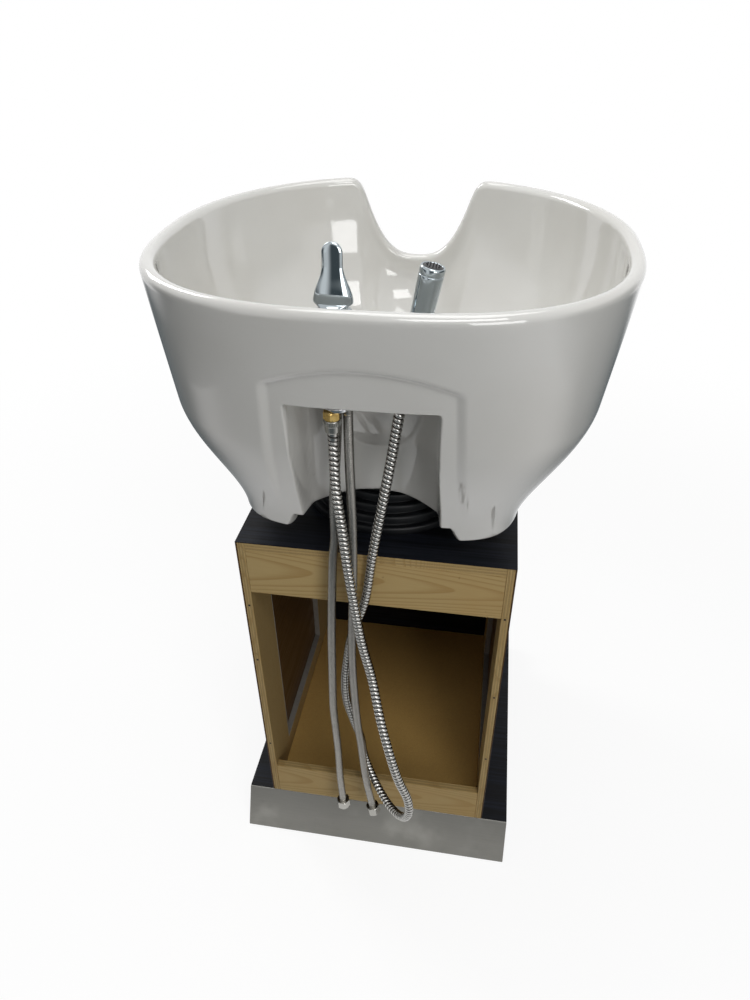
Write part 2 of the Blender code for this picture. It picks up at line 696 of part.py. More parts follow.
def build_cradle(centre):
    boss = CABINET_TOP + BOSS_HEIGHT
    pad_top = boss - CLEAR
    pad_low = pad_top - PAD_THICK
    bore = WASTE_RADIUS + RUNNING
    wide = BOSS_RADIUS - RUNNING
    pad = [(wide, pad_top), (wide, pad_low), (bore, pad_low), (bore, pad_top)]
    turned("cradle_pad", pad, RUBBER, TILT_AXIS, centre, steps=24)
    plate_top = pad_low - CLEAR
    plate_low = plate_top - CRADLE_PLATE
    ring = [(CRADLE_RADIUS, plate_top), (CRADLE_RADIUS, plate_low), (bore, plate_low), (bore, plate_top)]
    cradle = turned("tilt_cradle", ring, ZINC, TILT_AXIS, centre, steps=32)
    half = LUG_HALF_WIDTH
    for side, sign in (("left", -1), ("right", 1)):
        edges = sorted((sign * LUG_INNER, sign * (LUG_INNER + LUG_THICK)))
        corner = half * math.sin(math.pi / 4)
        outline = [
            (MOUNT_Y - half, plate_low + CRADLE_PLATE / 2), (MOUNT_Y - half, PIVOT.z),
            (MOUNT_Y - corner, PIVOT.z - corner), (MOUNT_Y, PIVOT.z - half),
            (MOUNT_Y + corner, PIVOT.z - corner), (MOUNT_Y + half, PIVOT.z),
            (MOUNT_Y + half, plate_low + CRADLE_PLATE / 2),
        ]
        lug = cutter("lug_" + side, outline_mesh("lug_" + side, outline, *edges, axis="X"))
        combine(cradle, lug, "UNION")
        hole = cylinder_mesh("lug_hole_" + side, PIN_RADIUS + CLEAR, -half, half, 16)
        combine(cradle, cutter("lug_hole_" + side, hole, across(sign * LUG_INNER)))


def superellipse(angles, half_width, near, far, middle, near_power, far_power):
    c, s = np.cos(angles), np.sin(angles)
    power = np.where(s < 0, near_power, far_power)
    reach = np.where(s < 0, middle - near, far - middle)
    x = half_width * np.sign(c) * np.abs(c) ** (2 / power)
    y = middle + reach * np.sign(s) * np.abs(s) ** (2 / power)
    return np.stack([x, y], -1)


def smoothstep(low, high, value):
    t = np.clip((value - low) / (high - low), 0, 1)
    return t * t * (3 - 2 * t)


def rim_angles():
    # Even round the near side and closer together round the neck notch.
    shoulder = math.acos((NOTCH_HALF_WIDTH / RIM_HALF_WIDTH) ** (FAR_SQUARENESS / 2))
    spans = ((-math.pi / 2, 0, 14), (0, shoulder - 0.10, 5), (shoulder - 0.10, shoulder + 0.12, 7),
             (shoulder + 0.12, math.pi / 2, 3))
    half = np.concatenate([np.linspace(a, b, n, endpoint=False) for a, b, n in spans])
    other = math.pi - half[1:][::-1]
    return np.concatenate([half, [math.pi / 2], other])


class Basin:
    # The basin's wall as closed rings of points, one ring for each level.
    def __init__(self):
        self.angles = rim_angles()
        self.rim = superellipse(
            self.angles, RIM_HALF_WIDTH, RIM_NEAR, RIM_FAR, RIM_MIDDLE, NEAR_SQUARENESS, FAR_SQUARENESS
        )
        self.foot = superellipse(
            self.angles, FOOT_HALF_WIDTH, FOOT_NEAR, FOOT_FAR, MOUNT_Y, FOOT_SQUARENESS, FAR_SQUARENESS
        )
        c, s = np.cos(self.angles), np.sin(self.angles)
        self.round = np.stack([c, s], -1)
        self.floor = np.array([0, FLOOR_MIDDLE]) + FLOOR_RADIUS * self.round
        self.outward = self.normals()
        self.nearness = smoothstep(*LEDGE_FADE, -s)
        self.level = smoothstep(*LEVEL_FADE, -s)
        side = np.abs(self.rim[:, 0]) / NOTCH_HALF_WIDTH
        dip = NOTCH_DEPTH * (1 - np.minimum(1, side ** NOTCH_POWER)) * (s > 0)
        self.rim_z = CABINET_TOP + RIM_HEIGHT + RIM_SLOPE * (self.rim[:, 1] - RIM_MIDDLE) - dip
        back = np.clip((self.foot[:, 1] - FOOT_NEAR) / (FOOT_FAR - FOOT_NEAR), 0, 1)
        self.foot_z = CABINET_TOP + FOOT_HEIGHT + FOOT_RISE * back

    def normals(self):
        ahead = np.roll(self.rim, -1, axis=0) - np.roll(self.rim, 1, axis=0)
        turned_out = np.stack([ahead[:, 1], -ahead[:, 0]], -1)
        return turned_out / np.linalg.norm(turned_out, axis=1, keepdims=True)

    def ring(self, plan, z):
        return np.column_stack([plan, np.broadcast_to(z, len(plan))])

    def lip(self, angle):
        out = LIP_RADIUS * math.cos(angle)
        up = LIP_RADIUS * math.sin(angle)
        return self.ring(self.rim + out * self.outward, self.rim_z + up)

    def hull(self, depth, inset=0.0):
        # The outer wall: a slow taper at first, then a quick tuck towards the foot.
        tuck = HULL_TAPER * depth + (1 - HULL_TAPER) * smoothstep(TUCK_START, 1.0, depth)
        start = self.rim + LIP_RADIUS * self.outward
        plan = start + (self.foot - start) * np.asarray(tuck).reshape(-1, 1)
        inward = np.array([0, MOUNT_Y]) - plan
        inward /= np.linalg.norm(inward, axis=1, keepdims=True)
        return self.ring(plan + inset * inward, self.rim_z - depth * (self.rim_z - self.foot_z))

    def bowl(self, depth, ledge, offset=0.0):
        # The inner wall; below the tap ledge the near side steps inwards.
        curve = 1 - (1 - depth ** 2) ** 0.5
        start = self.rim - LIP_RADIUS * self.outward
        plan = start + (self.floor - start) * curve
        plan = plan + np.array([0, 1]) * (ledge * DECK_DEPTH * (1 - curve) * self.nearness)[:, None]
        away = plan - np.array([0, FLOOR_MIDDLE])
        away /= np.linalg.norm(away, axis=1, keepdims=True)
        plan = plan + offset * (1 - depth ** 2) ** 0.5 * away
        floor_z = CABINET_TOP + FLOOR_EDGE
        return self.ring(plan, self.rim_z - depth * (self.rim_z - floor_z) - offset * depth)

    def ledge_ring(self, ledge, offset=0.0):
        # The tap ledge is level all along the near side.
        depth = (RIM_HEIGHT - DECK_HEIGHT) / (RIM_HEIGHT - FLOOR_EDGE)
        made = self.bowl(depth, ledge, offset)
        made[:, 2] += (DECK_TOP - offset - made[:, 2]) * self.level
        return made

    def hollow_ring(self, under):
        # Top of the hollow between skirt and bowl: under the ledge, and lower at the sides.
        made = self.hull(HOLLOW_LEVEL, SKIRT_WALL)
        high = (self.rim_z - DECK_UNDER) / (self.rim_z - self.foot_z)
        high_ring = self.hull(np.clip(high, HULL_LEVELS[0], HULL_LEVELS[-2]), SKIRT_WALL)
        made = made + (high_ring - made) * self.nearness[:, None]
        if not under:
            return made
        inner = self.bowl(HOLLOW_INNER_LEVEL, 1.0, BOWL_WALL)
        ledge = self.ledge_ring(1.0, BOWL_WALL)
        inner = inner + (ledge - inner) * self.nearness[:, None]
        inner[:, 2] = made[:, 2]
        return inner

    def round_ring(self, radius, height):
        return self.ring(np.array([0, MOUNT_Y]) + radius * self.round, CABINET_TOP + height)

    def rings(self):
        eighth = math.pi / 4
        above_ledge = (RIM_HEIGHT - DECK_HEIGHT) / (RIM_HEIGHT - FLOOR_EDGE) / 2
        return [
            self.round_ring(WASTE_HOLE, BOWL_FLOOR),
            self.round_ring(WASTE_FLANGE + RUNNING, BOWL_FLOOR),
            *[self.bowl(d, 1.0) for d in BOWL_LEVELS],
            self.ledge_ring(1.0), self.ledge_ring(0.0), self.bowl(above_ledge, 0.0),
            *[self.lip(math.pi - k * eighth) for k in range(5)],
            *[self.hull(d) for d in HULL_LEVELS],
            *[self.hull(d, SKIRT_WALL) for d in HULL_LEVELS[:2:-2]],
            self.hollow_ring(False), self.hollow_ring(True),
            *[self.bowl(d, 1.0, BOWL_WALL) for d in BOWL_LEVELS[-2::-1]],
            self.round_ring(BOSS_RADIUS, BOSS_HEIGHT + BOWL_WALL / 4),
            self.round_ring(BOSS_RADIUS, BOSS_HEIGHT),
            self.round_ring(WASTE_HOLE, BOSS_HEIGHT),
        ]


def loft_mesh(name, rings, closed=True):
    bm = bmesh.new()
    grid = [[bm.verts.new(point) for point in ring] for ring in rings]
    count = len(grid[0])
    pairs = list(zip(grid, grid[1:]))
    if closed:
        pairs.append((grid[-1], grid[0]))
    for low, high in pairs:
        for i in range(count):
            k = (i + 1) % count
            bm.faces.new((low[i], low[k], high[k], high[i]))
    if not closed:
        bm.faces.new(grid[0][::-1])
        bm.faces.new(grid[-1])
    return mesh_from(name, bm)


def build_basin():
    shape = Basin()
    basin = part("basin", loft_mesh("basin", shape.rings()), CERAMIC, TILT_AXIS)
    combine(basin, niche_wall(shape), "UNION")
    combine(basin, panel_cutter(shape))
    combine(basin, arch_cutter())
    bores = (MIXER_X, SHANK_RADIUS + RUNNING), (SPRAY_X, HOLDER_SHANK_RADIUS + RUNNING)
    for i, (x, radius) in enumerate(bores):
        name = "tap_hole_" + str(i + 1)
        mesh = cylinder_mesh(name, radius, DECK_UNDER - BOWL_WALL, DECK_TOP + BOWL_WALL)
        combine(basin, cutter(name, mesh, Matrix.Translation((x, TAP_Y, 0))))


def mirrored(right):
    # A right-hand half outline, closed with its left-hand copy.
    return right + [(-a, b) for a, b in right[::-1]]


def niche_wall(shape):
    # The curved wall behind the hoses, from the skirt round to the bowl's underside.
    steps = 5
    side = NICHE_HALF_WIDTH
    bend = NICHE_DEPTH - NICHE_CORNER
    inner = [(side, 2 * RIM_NEAR)]
    for i in range(steps):
        x = side * (1 - i / steps)
        inner.append((x, NICHE_DEPTH - bend * (x / side) ** 2))
    outer = [(side + NICHE_WALL, 2 * RIM_NEAR)]
    for i in range(steps):
        x = (side + NICHE_WALL) * (1 - i / steps)
        outer.append((x, NICHE_DEPTH + NICHE_WALL - bend * (x / (side + NICHE_WALL)) ** 2))
    half = outer[::-1] + inner
    other = [(-x, y) for x, y in half[::-1]]
    outline = half + [(0, NICHE_DEPTH)] + other + [(0, NICHE_DEPTH + NICHE_WALL)]
    low = CABINET_TOP + NICHE_FOOT
    wall = cutter("niche_wall", outline_mesh("niche_wall", outline, low, DECK_TOP, axis="Z"))
    lifted = CABINET_TOP + RIM_HEIGHT
    hull = [shape.hull(d, SKIRT_WALL / 2) for d in HULL_LEVELS[::-1]]
    hull.append(shape.ring(hull[-1][:, :2], lifted))
    combine(wall, cutter("hull_core", loft_mesh("hull_core", hull, closed=False)), "INTERSECT")
    middle = BOWL_WALL / 2
    bowl = [shape.bowl(d, 1.0, middle) for d in BOWL_LEVELS]
    bowl += [shape.ledge_ring(1.0, middle), shape.ledge_ring(0.0, middle)]
    bowl.append(shape.ring(bowl[-1][:, :2], lifted))
    return combine(wall, cutter("bowl_core", loft_mesh("bowl_core", bowl, closed=False)))


def panel_cutter(shape):
    # The shallow arched panel: everything proud of the hull, pressed in by one step.
    near = 4 * RIM_NEAR
    depths = np.linspace(*PANEL_SPAN, PANEL_ROWS)
    reach = 1.5 * PANEL_FOOT_HALF_WIDTH
    columns = [i for i, p in enumerate(shape.rim) if p[1] < RIM_MIDDLE and abs(p[0]) < reach]
    columns.sort(key=lambda i: shape.rim[i][0])
    rows = []
    for depth in depths:
        back = shape.hull(depth, PANEL_STEP)[columns]
        front = back[::-1].copy()
        front[:, 1] = near
        rows.append(np.concatenate([back, front]))
    slab = cutter("panel_slab", loft_mesh("panel_slab", rows, closed=False))
    steps = 4
    rise = PANEL_HEIGHT - PANEL_SIDE_HEIGHT
    right = [(PANEL_FOOT_HALF_WIDTH, CABINET_TOP - FOOT_HEIGHT)]
    for i in range(steps):
        x = PANEL_HALF_WIDTH * (1 - i / steps)
        right.append((x, CABINET_TOP + PANEL_SIDE_HEIGHT + rise * (1 - (x / PANEL_HALF_WIDTH) ** 2)))
    arch = cutter("panel_arch", outline_mesh("panel_arch", mirrored(right), 2 * near, MOUNT_Y / 2))
    return combine(arch, slab, "INTERSECT")


def arch_cutter():
    # The hose opening: upright jambs under a flat head, with a wider foot between the lobes.
    foot = CABINET_TOP + NICHE_FOOT - CLEAR
    top = CABINET_TOP + ARCH_HEIGHT
    wide = PANEL_FOOT_HALF_WIDTH - 2 * PANEL_STEP
    sweep = wide - NICHE_HALF_WIDTH - NICHE_WALL
    right = [
        (wide, CABINET_TOP - FOOT_HEIGHT),
        (wide - sweep / 6, foot - sweep * 0.7),
        (wide - sweep / 2, foot - sweep * 0.2),
        (wide - sweep, foot),
        (ARCH_HALF_WIDTH + ARCH_CORNER / 2, foot),
        (ARCH_HALF_WIDTH, top - ARCH_CORNER),
        (ARCH_HALF_WIDTH - ARCH_CORNER, top),
    ]
    return cutter("arch_opening", outline_mesh("arch_opening", mirrored(right), -MOUNT_Y, NICHE_CORNER))


def build_waste():
    centre = Matrix.Translation((0, MOUNT_Y, 0))
    floor = CABINET_TOP + BOWL_FLOOR + CLEAR
    cradle_low = CABINET_TOP + BOSS_HEIGHT - PAD_THICK - CRADLE_PLATE - 2 * CLEAR
    nut_top = cradle_low - CLEAR
    nut_low = nut_top - LOCKNUT_HEIGHT
    end = nut_low - WASTE_BELOW_NUT
    inside = WASTE_RADIUS - WASTE_WALL
    rim = floor + WASTE_FLANGE_THICK
    profile = [
        (WASTE_FLANGE, floor + WASTE_FLANGE_THICK / 2), (WASTE_FLANGE, floor), (WASTE_RADIUS, floor),
        (WASTE_RADIUS, end), (inside, end), (inside, rim - WASTE_FLANGE_THICK / 3),
        (WASTE_FLANGE - WASTE_FLANGE_THICK, rim),
    ]
    waste = turned("waste_outlet", profile, CHROME, TILT_AXIS, centre, steps=28)
    half = WASTE_BAR / 4
    reach = (inside + WASTE_RADIUS) / 2
    for i, turn in enumerate((0, math.pi / 2)):
        name = "strainer_bar_" + str(i + 1)
        top = floor - half * (1 + i / 4)
        mesh = box_mesh(name, (-reach, -half, floor - WASTE_BAR), (reach, half, top))
        combine(waste, cutter(name, mesh, centre @ Matrix.Rotation(turn, 4, "Z")), "UNION")
    bore = WASTE_RADIUS + CLEAR
    hex_part("waste_locknut", LOCKNUT_FLATS, nut_low, nut_top, bore, PLASTIC, TILT_AXIS, centre)
    top = end - CLEAR
    low = top - TAILPIECE_LENGTH
    bore = TAILPIECE_RADIUS - WASTE_WALL
    profile = [
        (WASTE_RADIUS, top), (WASTE_RADIUS, top - TAILPIECE_FLANGE),
        (TAILPIECE_RADIUS, top - 2 * TAILPIECE_FLANGE), (TAILPIECE_RADIUS, low), (bore, low), (bore, top),
    ]
    turned("waste_tailpiece", profile, PLASTIC, TILT_AXIS, centre, steps=20)


def build_mixer():
    axis = Matrix.Translation((MIXER_X, TAP_Y, 0))
    deck = DECK_TOP + CLEAR
    base = MIXER_BASE
    flange_top = base + MIXER_FLANGE
    top = flange_top + MIXER_HEIGHT
    gap = SHANK_RADIUS + CLEAR
    ring = [
        (MIXER_FLANGE_RADIUS, deck + GASKET), (MIXER_FLANGE_RADIUS, deck),
        (gap, deck), (gap, deck + GASKET),
    ]
    turned("mixer_gasket", ring, RUBBER, TILT_AXIS, axis)
    inside = MIXER_RADIUS - MIXER_WALL
    floor = base + MIXER_FLOOR
    profile = [
        (MIXER_RADIUS, top), (MIXER_RADIUS, flange_top + MIXER_FLANGE / 2),
        (MIXER_FLANGE_RADIUS, flange_top - MIXER_FLANGE / 2), (MIXER_FLANGE_RADIUS, base),
        (SHANK_RADIUS, base), (SHANK_RADIUS, SHANK_END), (0, SHANK_END),
    ]
    body = turned("mixer_body", [(0, top)] + profile, CHROME, TILT_AXIS, axis, steps=28, ring=False)
    well = cylinder_mesh("cartridge_well", inside, floor, top + MIXER_FLOOR, 28)
    combine(body, cutter("cartridge_well", well, axis))
    under = DECK_UNDER - CLEAR
    washer = [
        (CLAMP_WASHER_RADIUS, under), (CLAMP_WASHER_RADIUS, under - CLAMP_WASHER),
        (gap, under - CLAMP_WASHER), (gap, under),
    ]
    turned("mixer_clamp_washer", washer, ZINC, TILT_AXIS, axis)
    nut_top = under - CLAMP_WASHER - CLEAR
    hex_part("mixer_backnut", BACKNUT_FLATS, nut_top - BACKNUT_HEIGHT, nut_top, gap, BRASS, TILT_AXIS, axis)
    build_cartridge(axis, inside, floor, top)
    build_lever()
    at = Matrix.Translation((MIXER_X + NIPPLE_AT[0], TAP_Y + NIPPLE_AT[1], 0))
    start = SHANK_END - CLEAR
    ring = [
        (NIPPLE_RADIUS, start), (NIPPLE_RADIUS, start - NIPPLE_LENGTH),
        (SHOWER_HOSE_BORE, start - NIPPLE_LENGTH), (SHOWER_HOSE_BORE, start),
    ]
    turned("hose_nipple", ring, BRASS, TILT_AXIS, at, steps=16)


def build_cartridge(axis, inside, floor, top):
    # Sealed cartridge, the domed nut that holds it down, and its turning carrier.
    radius = inside - CLEAR
    dome_inside = DOME_RADIUS - DOME_WALL
    cartridge_top = top - CARRIER_BELOW - CLEAR
    profile = [(0, cartridge_top), (radius, cartridge_top), (radius, floor + CLEAR), (0, floor + CLEAR)]
    turned("mixer_cartridge", profile, PLASTIC, TILT_AXIS, axis, steps=20, ring=False)
    centre = Matrix.Translation(DOME_CENTRE)
    steps = 4
    span = [DOME_MOUTH + (math.pi / 2 - DOME_MOUTH) * k / steps for k in range(steps + 1)]
    outer = [(DOME_RADIUS * math.sin(a), CLEAR + DOME_RADIUS * math.cos(a)) for a in span]
    inner = [(dome_inside * math.sin(a), CLEAR + dome_inside * math.cos(a)) for a in span]
    turned("mixer_dome_nut", outer + inner[::-1], CHROME, TILT_AXIS, centre, steps=24)
    profile = [
        (0, CARRIER_ABOVE), (CARRIER_RADIUS, CARRIER_ABOVE), (CARRIER_RADIUS, -CARRIER_BELOW),
        (0, -CARRIER_BELOW),
    ]
    carrier = turned("cartridge_carrier", profile, PLASTIC, SWIVEL_AXIS, centre, steps=20, ring=False)
    # The stem rocks in a slot across the carrier, on a pin.
    half = STEM_RADIUS + CLEAR
    low = (-half, -2 * CARRIER_RADIUS, -half)
    high = (half, 2 * CARRIER_RADIUS, 2 * CARRIER_ABOVE)
    combine(carrier, cutter("carrier_slot", box_mesh("carrier_slot", low, high), centre))
    along_x = centre @ Matrix.Rotation(math.pi / 2, 4, "Y")
    reach = 2 * CARRIER_RADIUS
    drill = cutter("pin_hole", cylinder_mesh("pin_hole", STEM_PIN + CLEAR, -reach, reach, 12), along_x)
    combine(carrier, drill)
    pin_half = CARRIER_RADIUS - RUNNING
    pin = cylinder_mesh("stem_pin", STEM_PIN, -pin_half, pin_half, 12)
    part("stem_pin", pin, STEEL, SWIVEL_AXIS, along_x)
    foot = [(STEM_RADIUS * math.cos(a), -STEM_RADIUS * math.sin(a)) for a in (0, 0.4, 0.8, 1.2)]
    profile = [(0, STEM_TOP), (STEM_RADIUS, STEM_TOP)] + foot + [(0, -STEM_RADIUS)]
    stem = turned("cartridge_stem", profile, BRASS, LIFT_AXIS, centre, steps=16, ring=False)
    combine(stem, drill)


def build_lever():
    # A cap over the dome, drawn up into a flat upright paddle with a round tip.
    inner = DOME_RADIUS + CAP_GAP
    outer = inner + CAP_WALL
    steps = 6
    span = [CAP_SKIRT * k / steps for k in range(steps + 1)]
    profile = [(outer * math.sin(a), outer * math.cos(a)) for a in span]
    profile.append((0, outer * math.cos(CAP_SKIRT)))
    centre = Matrix.Translation(DOME_CENTRE)
    lever = turned("mixer_lever", profile, CHROME, LIFT_AXIS, centre, steps=24, ring=False)
    sides = 14
    levels = 8
    turns = [2 * math.pi * (k + 0.5) / sides for k in range(sides)]
    rings = []
    for i in range(levels + 1):
        t = i / levels
        z = outer + (LEVER_HEIGHT - outer) * t
        narrowing = smoothstep(outer, LEVER_SHOULDER, z)
        half_width = LEVER_ROOT_HALF_WIDTH + (LEVER_TIP_HALF_WIDTH - LEVER_ROOT_HALF_WIDTH) * narrowing
        half_thick = (LEVER_ROOT_THICK + (LEVER_TIP_THICK - LEVER_ROOT_THICK) * narrowing) / 2
        to_tip = (LEVER_HEIGHT - z) / LEVER_TIP_HALF_WIDTH
        if to_tip < 1:
            z = LEVER_HEIGHT - LEVER_TIP_HALF_WIDTH * to_tip ** 2
            half_width *= max(LEVER_TIP_FLAT, math.sqrt(1 - (1 - to_tip) ** 2))
        shift = (z - outer) * math.tan(LEVER_LEAN)
        rings.append([(half_width * math.cos(a), shift + half_thick * math.sin(a), z) for a in turns])
    bed = inner + CAP_WALL / 2
    seat = [(x, y, math.sqrt(bed ** 2 - x * x - y * y)) for x, y, z in rings[0]]
    mesh = loft_mesh("lever_paddle", [seat] + rings, closed=False)
    combine(lever, cutter("lever_paddle", mesh, centre), "UNION")
    bm = bmesh.new()
    bmesh.ops.create_uvsphere(bm, u_segments=20, v_segments=14, radius=inner)
    combine(lever, cutter("lever_hollow", mesh_from("lever_hollow", bm), centre))
    socket = cylinder_mesh("stem_socket", STEM_RADIUS + CLEAR, 0, STEM_TOP + CLEAR, 16)
    combine(lever, cutter("stem_socket", socket, centre))


def build_spray():
    upright = Matrix.Translation(SPRAY_ORIGIN)
    lean = upright @ Matrix.Rotation(SPRAY_LEAN, 4, "Y")
    low = -BOWL_WALL - HOLDER_BELOW
    profile = [
        (0, HOLDER_HEIGHT), (HOLDER_RADIUS, HOLDER_HEIGHT), (HOLDER_RADIUS, HOLDER_FLANGE + CLEAR),
        (HOLDER_FLANGE_RADIUS, HOLDER_FLANGE / 2 + CLEAR), (HOLDER_FLANGE_RADIUS, CLEAR),
        (HOLDER_SHANK_RADIUS, CLEAR), (HOLDER_SHANK_RADIUS, low), (0, low),
    ]
    holder = turned("spray_holder", profile, CHROME, TILT_AXIS, upright, steps=24, ring=False)
    bore = CONE_NUT_RADIUS + RUNNING
    hole = cylinder_mesh("holder_bore", bore, 2 * low, HOLDER_HEIGHT * 2)
    combine(holder, cutter("holder_bore", hole, lean))
    socket_low = HOLDER_HEIGHT - SOCKET_DEPTH
    socket = cylinder_mesh("holder_socket", SPRAY_RADIUS + CLEAR, socket_low, 2 * HOLDER_HEIGHT)
    combine(holder, cutter("holder_socket", socket, lean))
    under = -BOWL_WALL - CLEAR
    hex_part(
        "spray_holder_nut", HOLDER_NUT_FLATS, under - HOLDER_NUT_HEIGHT, under,
        HOLDER_SHANK_RADIUS + CLEAR, PLASTIC, TILT_AXIS, upright,
    )
    start = socket_low + CLEAR
    end = start + SPRAY_LENGTH
    inside = SPRAY_RADIUS - SPRAY_WALL
    neck = SHOWER_HOSE_BORE
    profile = [
        (SPRAY_RADIUS - SPRAY_WALL / 4, end), (SPRAY_RADIUS, end - SPRAY_WALL),
        (SPRAY_RADIUS * SPRAY_WAIST, (start + end) / 2),
        (SPRAY_RADIUS, start + SOCKET_DEPTH), (SPRAY_RADIUS, start), (neck, start),
        (neck, start + SPRAY_WALL), (inside * SPRAY_WAIST, start + 2 * SPRAY_WALL), (inside, end),
    ]
    turned("spray_handle", profile, CHROME, SPRAY_SLIDE, lean, steps=24)
    face_top = end - CLEAR
    rim = inside - CLEAR
    face_low = face_top - SPRAY_FACE
    face = [(0, face_top + SPRAY_WALL / 4), (rim, face_top), (rim, face_low), (0, face_low)]
    turned("spray_face", face, PLASTIC, SPRAY_SLIDE, lean, steps=24, ring=False)
    top = start - CLEAR
    cone = [
        (CONE_NUT_RADIUS, top), (CONE_NUT_RADIUS * NUT_TAPER, top - CONE_NUT_LENGTH),
        (neck, top - CONE_NUT_LENGTH), (neck, top),
    ]
    turned("hose_cone_nut", cone, CHROME, SPRAY_SLIDE, lean, steps=16)
    return SPRAY_ORIGIN + SPRAY_AXIS * (top - CONE_NUT_LENGTH - CLEAR)


def build_shower_hose(spray_end):
    at = Vector((MIXER_X + NIPPLE_AT[0], TAP_Y + NIPPLE_AT[1], SHANK_END - NIPPLE_LENGTH - 2 * CLEAR))
    union_low = at.z - UNION_NUT_HEIGHT
    ring = [
        (UNION_NUT_RADIUS, at.z), (UNION_NUT_RADIUS * NUT_TAPER, union_low),
        (SHOWER_HOSE_BORE, union_low), (SHOWER_HOSE_BORE, at.z),
    ]
    turned("hose_union_nut", ring, CHROME, TILT_AXIS, Matrix.Translation((at.x, at.y, 0)), steps=20)
    start = Vector((at.x, at.y, union_low - CLEAR))
    straight = 2 * SHOWER_HOSE_RADIUS
    ends = straight_run(start, Vector((0, 0, -1)), straight)
    far_ends = straight_run(spray_end, -SPRAY_AXIS, straight)[::-1]
    path, length = spaced(smooth_route(ends + SHOWER_ROUTE + far_ends), 2 * RIB_COUNT + 1)
    groove = 1 - RIB_DEPTH / SHOWER_HOSE_RADIUS
    plain = int(straight / length * 2 * RIB_COUNT) + 1
    radii = [groove if i % 2 and plain < i < 2 * RIB_COUNT - plain else 1 for i in range(len(path))]
    mesh = tube_mesh("shower_hose", path, SHOWER_HOSE_RADIUS, radii)
    hose = part("shower_hose", mesh, CHROME, TILT_AXIS)
    bore_path = path[::3]
    if bore_path[-1] != path[-1]:
        bore_path.append(path[-1])
    bore_path[0] = start + Vector((0, 0, straight))
    bore_path[-1] = spray_end + SPRAY_AXIS * straight
    bore = cutter("shower_hose_bore", tube_mesh("shower_hose_bore", bore_path, SHOWER_HOSE_BORE, None, 1))
    combine(hose, bore)


def build_supply_hose(side, offset, route):
    start = Vector((MIXER_X + offset[0], TAP_Y + offset[1], SHANK_END - CLEAR))
    ends = straight_run(start, Vector((0, 0, -1)), 2 * SUPPLY_HOSE_RADIUS)
    last = Vector(route[-1])
    far_ends = straight_run(last, (last - Vector(route[-2])).normalized(), 2 * SUPPLY_HOSE_RADIUS)
    path = spaced(smooth_route(ends + route[:-1] + far_ends), SUPPLY_POINTS)[0]
    part("supply_hose_" + side, tube_mesh("supply_hose_" + side, path, SUPPLY_HOSE_RADIUS), BRAID, TILT_AXIS)
    along = (path[-1] - path[-2]).normalized()
    turn = (-along).to_track_quat("Z", "X").to_matrix().to_4x4()
    matrix = Matrix.Translation(path[-1] + along * CLEAR) @ turn
    name = "supply_nut_" + side
    bore = SUPPLY_HOSE_RADIUS * NUT_TAPER
    hex_part(name, SUPPLY_NUT_FLATS, -SUPPLY_NUT_HEIGHT, 0, bore, CHROME, TILT_AXIS, matrix)


build_plinth()
build_cabinet()
build_mount()
build_basin()
build_waste()
build_mixer()
build_shower_hose(build_spray())
build_supply_hose("left", SUPPLY_LEFT_AT, SUPPLY_LEFT_ROUTE)
build_supply_hose("right", SUPPLY_RIGHT_AT, SUPPLY_RIGHT_ROUTE)
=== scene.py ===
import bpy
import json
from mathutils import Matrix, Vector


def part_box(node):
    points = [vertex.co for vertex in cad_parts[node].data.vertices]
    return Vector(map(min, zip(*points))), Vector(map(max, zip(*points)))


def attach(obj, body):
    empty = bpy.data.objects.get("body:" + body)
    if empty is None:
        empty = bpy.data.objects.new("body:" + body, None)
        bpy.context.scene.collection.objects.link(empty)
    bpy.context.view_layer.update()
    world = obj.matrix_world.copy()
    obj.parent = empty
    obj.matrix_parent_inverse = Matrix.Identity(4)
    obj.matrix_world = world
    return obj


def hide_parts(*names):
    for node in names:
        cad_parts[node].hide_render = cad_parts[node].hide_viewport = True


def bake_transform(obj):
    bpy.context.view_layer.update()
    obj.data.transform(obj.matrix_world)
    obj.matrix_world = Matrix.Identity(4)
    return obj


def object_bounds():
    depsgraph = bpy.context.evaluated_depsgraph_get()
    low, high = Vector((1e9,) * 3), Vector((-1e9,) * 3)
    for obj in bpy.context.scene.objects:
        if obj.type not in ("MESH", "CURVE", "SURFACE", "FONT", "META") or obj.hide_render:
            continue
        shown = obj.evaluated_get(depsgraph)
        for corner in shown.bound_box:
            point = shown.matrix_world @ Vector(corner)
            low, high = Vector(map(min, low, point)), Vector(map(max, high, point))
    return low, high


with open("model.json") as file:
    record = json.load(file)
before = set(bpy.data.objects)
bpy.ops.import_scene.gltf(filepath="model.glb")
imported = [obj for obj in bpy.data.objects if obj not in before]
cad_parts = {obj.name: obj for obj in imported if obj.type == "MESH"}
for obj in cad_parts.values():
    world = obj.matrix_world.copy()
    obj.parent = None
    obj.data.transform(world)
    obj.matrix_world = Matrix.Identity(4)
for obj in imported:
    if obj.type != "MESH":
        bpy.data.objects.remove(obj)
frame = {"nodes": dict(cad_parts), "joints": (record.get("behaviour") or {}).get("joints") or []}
cadBox = [list(corner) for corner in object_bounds()]

import json
import math

import bmesh
import bpy
import numpy as np
from mathutils import Matrix, Vector

scene = bpy.context.scene
nodes = frame["nodes"]
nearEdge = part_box("top_laminate")[0].y        # the cabinet's near face
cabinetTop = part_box("top_laminate")[1].z
mountY = (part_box("tilt_yoke")[0].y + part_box("tilt_yoke")[1].y) / 2 - nearEdge


def linked(name, data):
    made = bpy.data.objects.new(name, data)
    scene.collection.objects.link(made)
    return made


# Camera, at the photograph's viewing angle

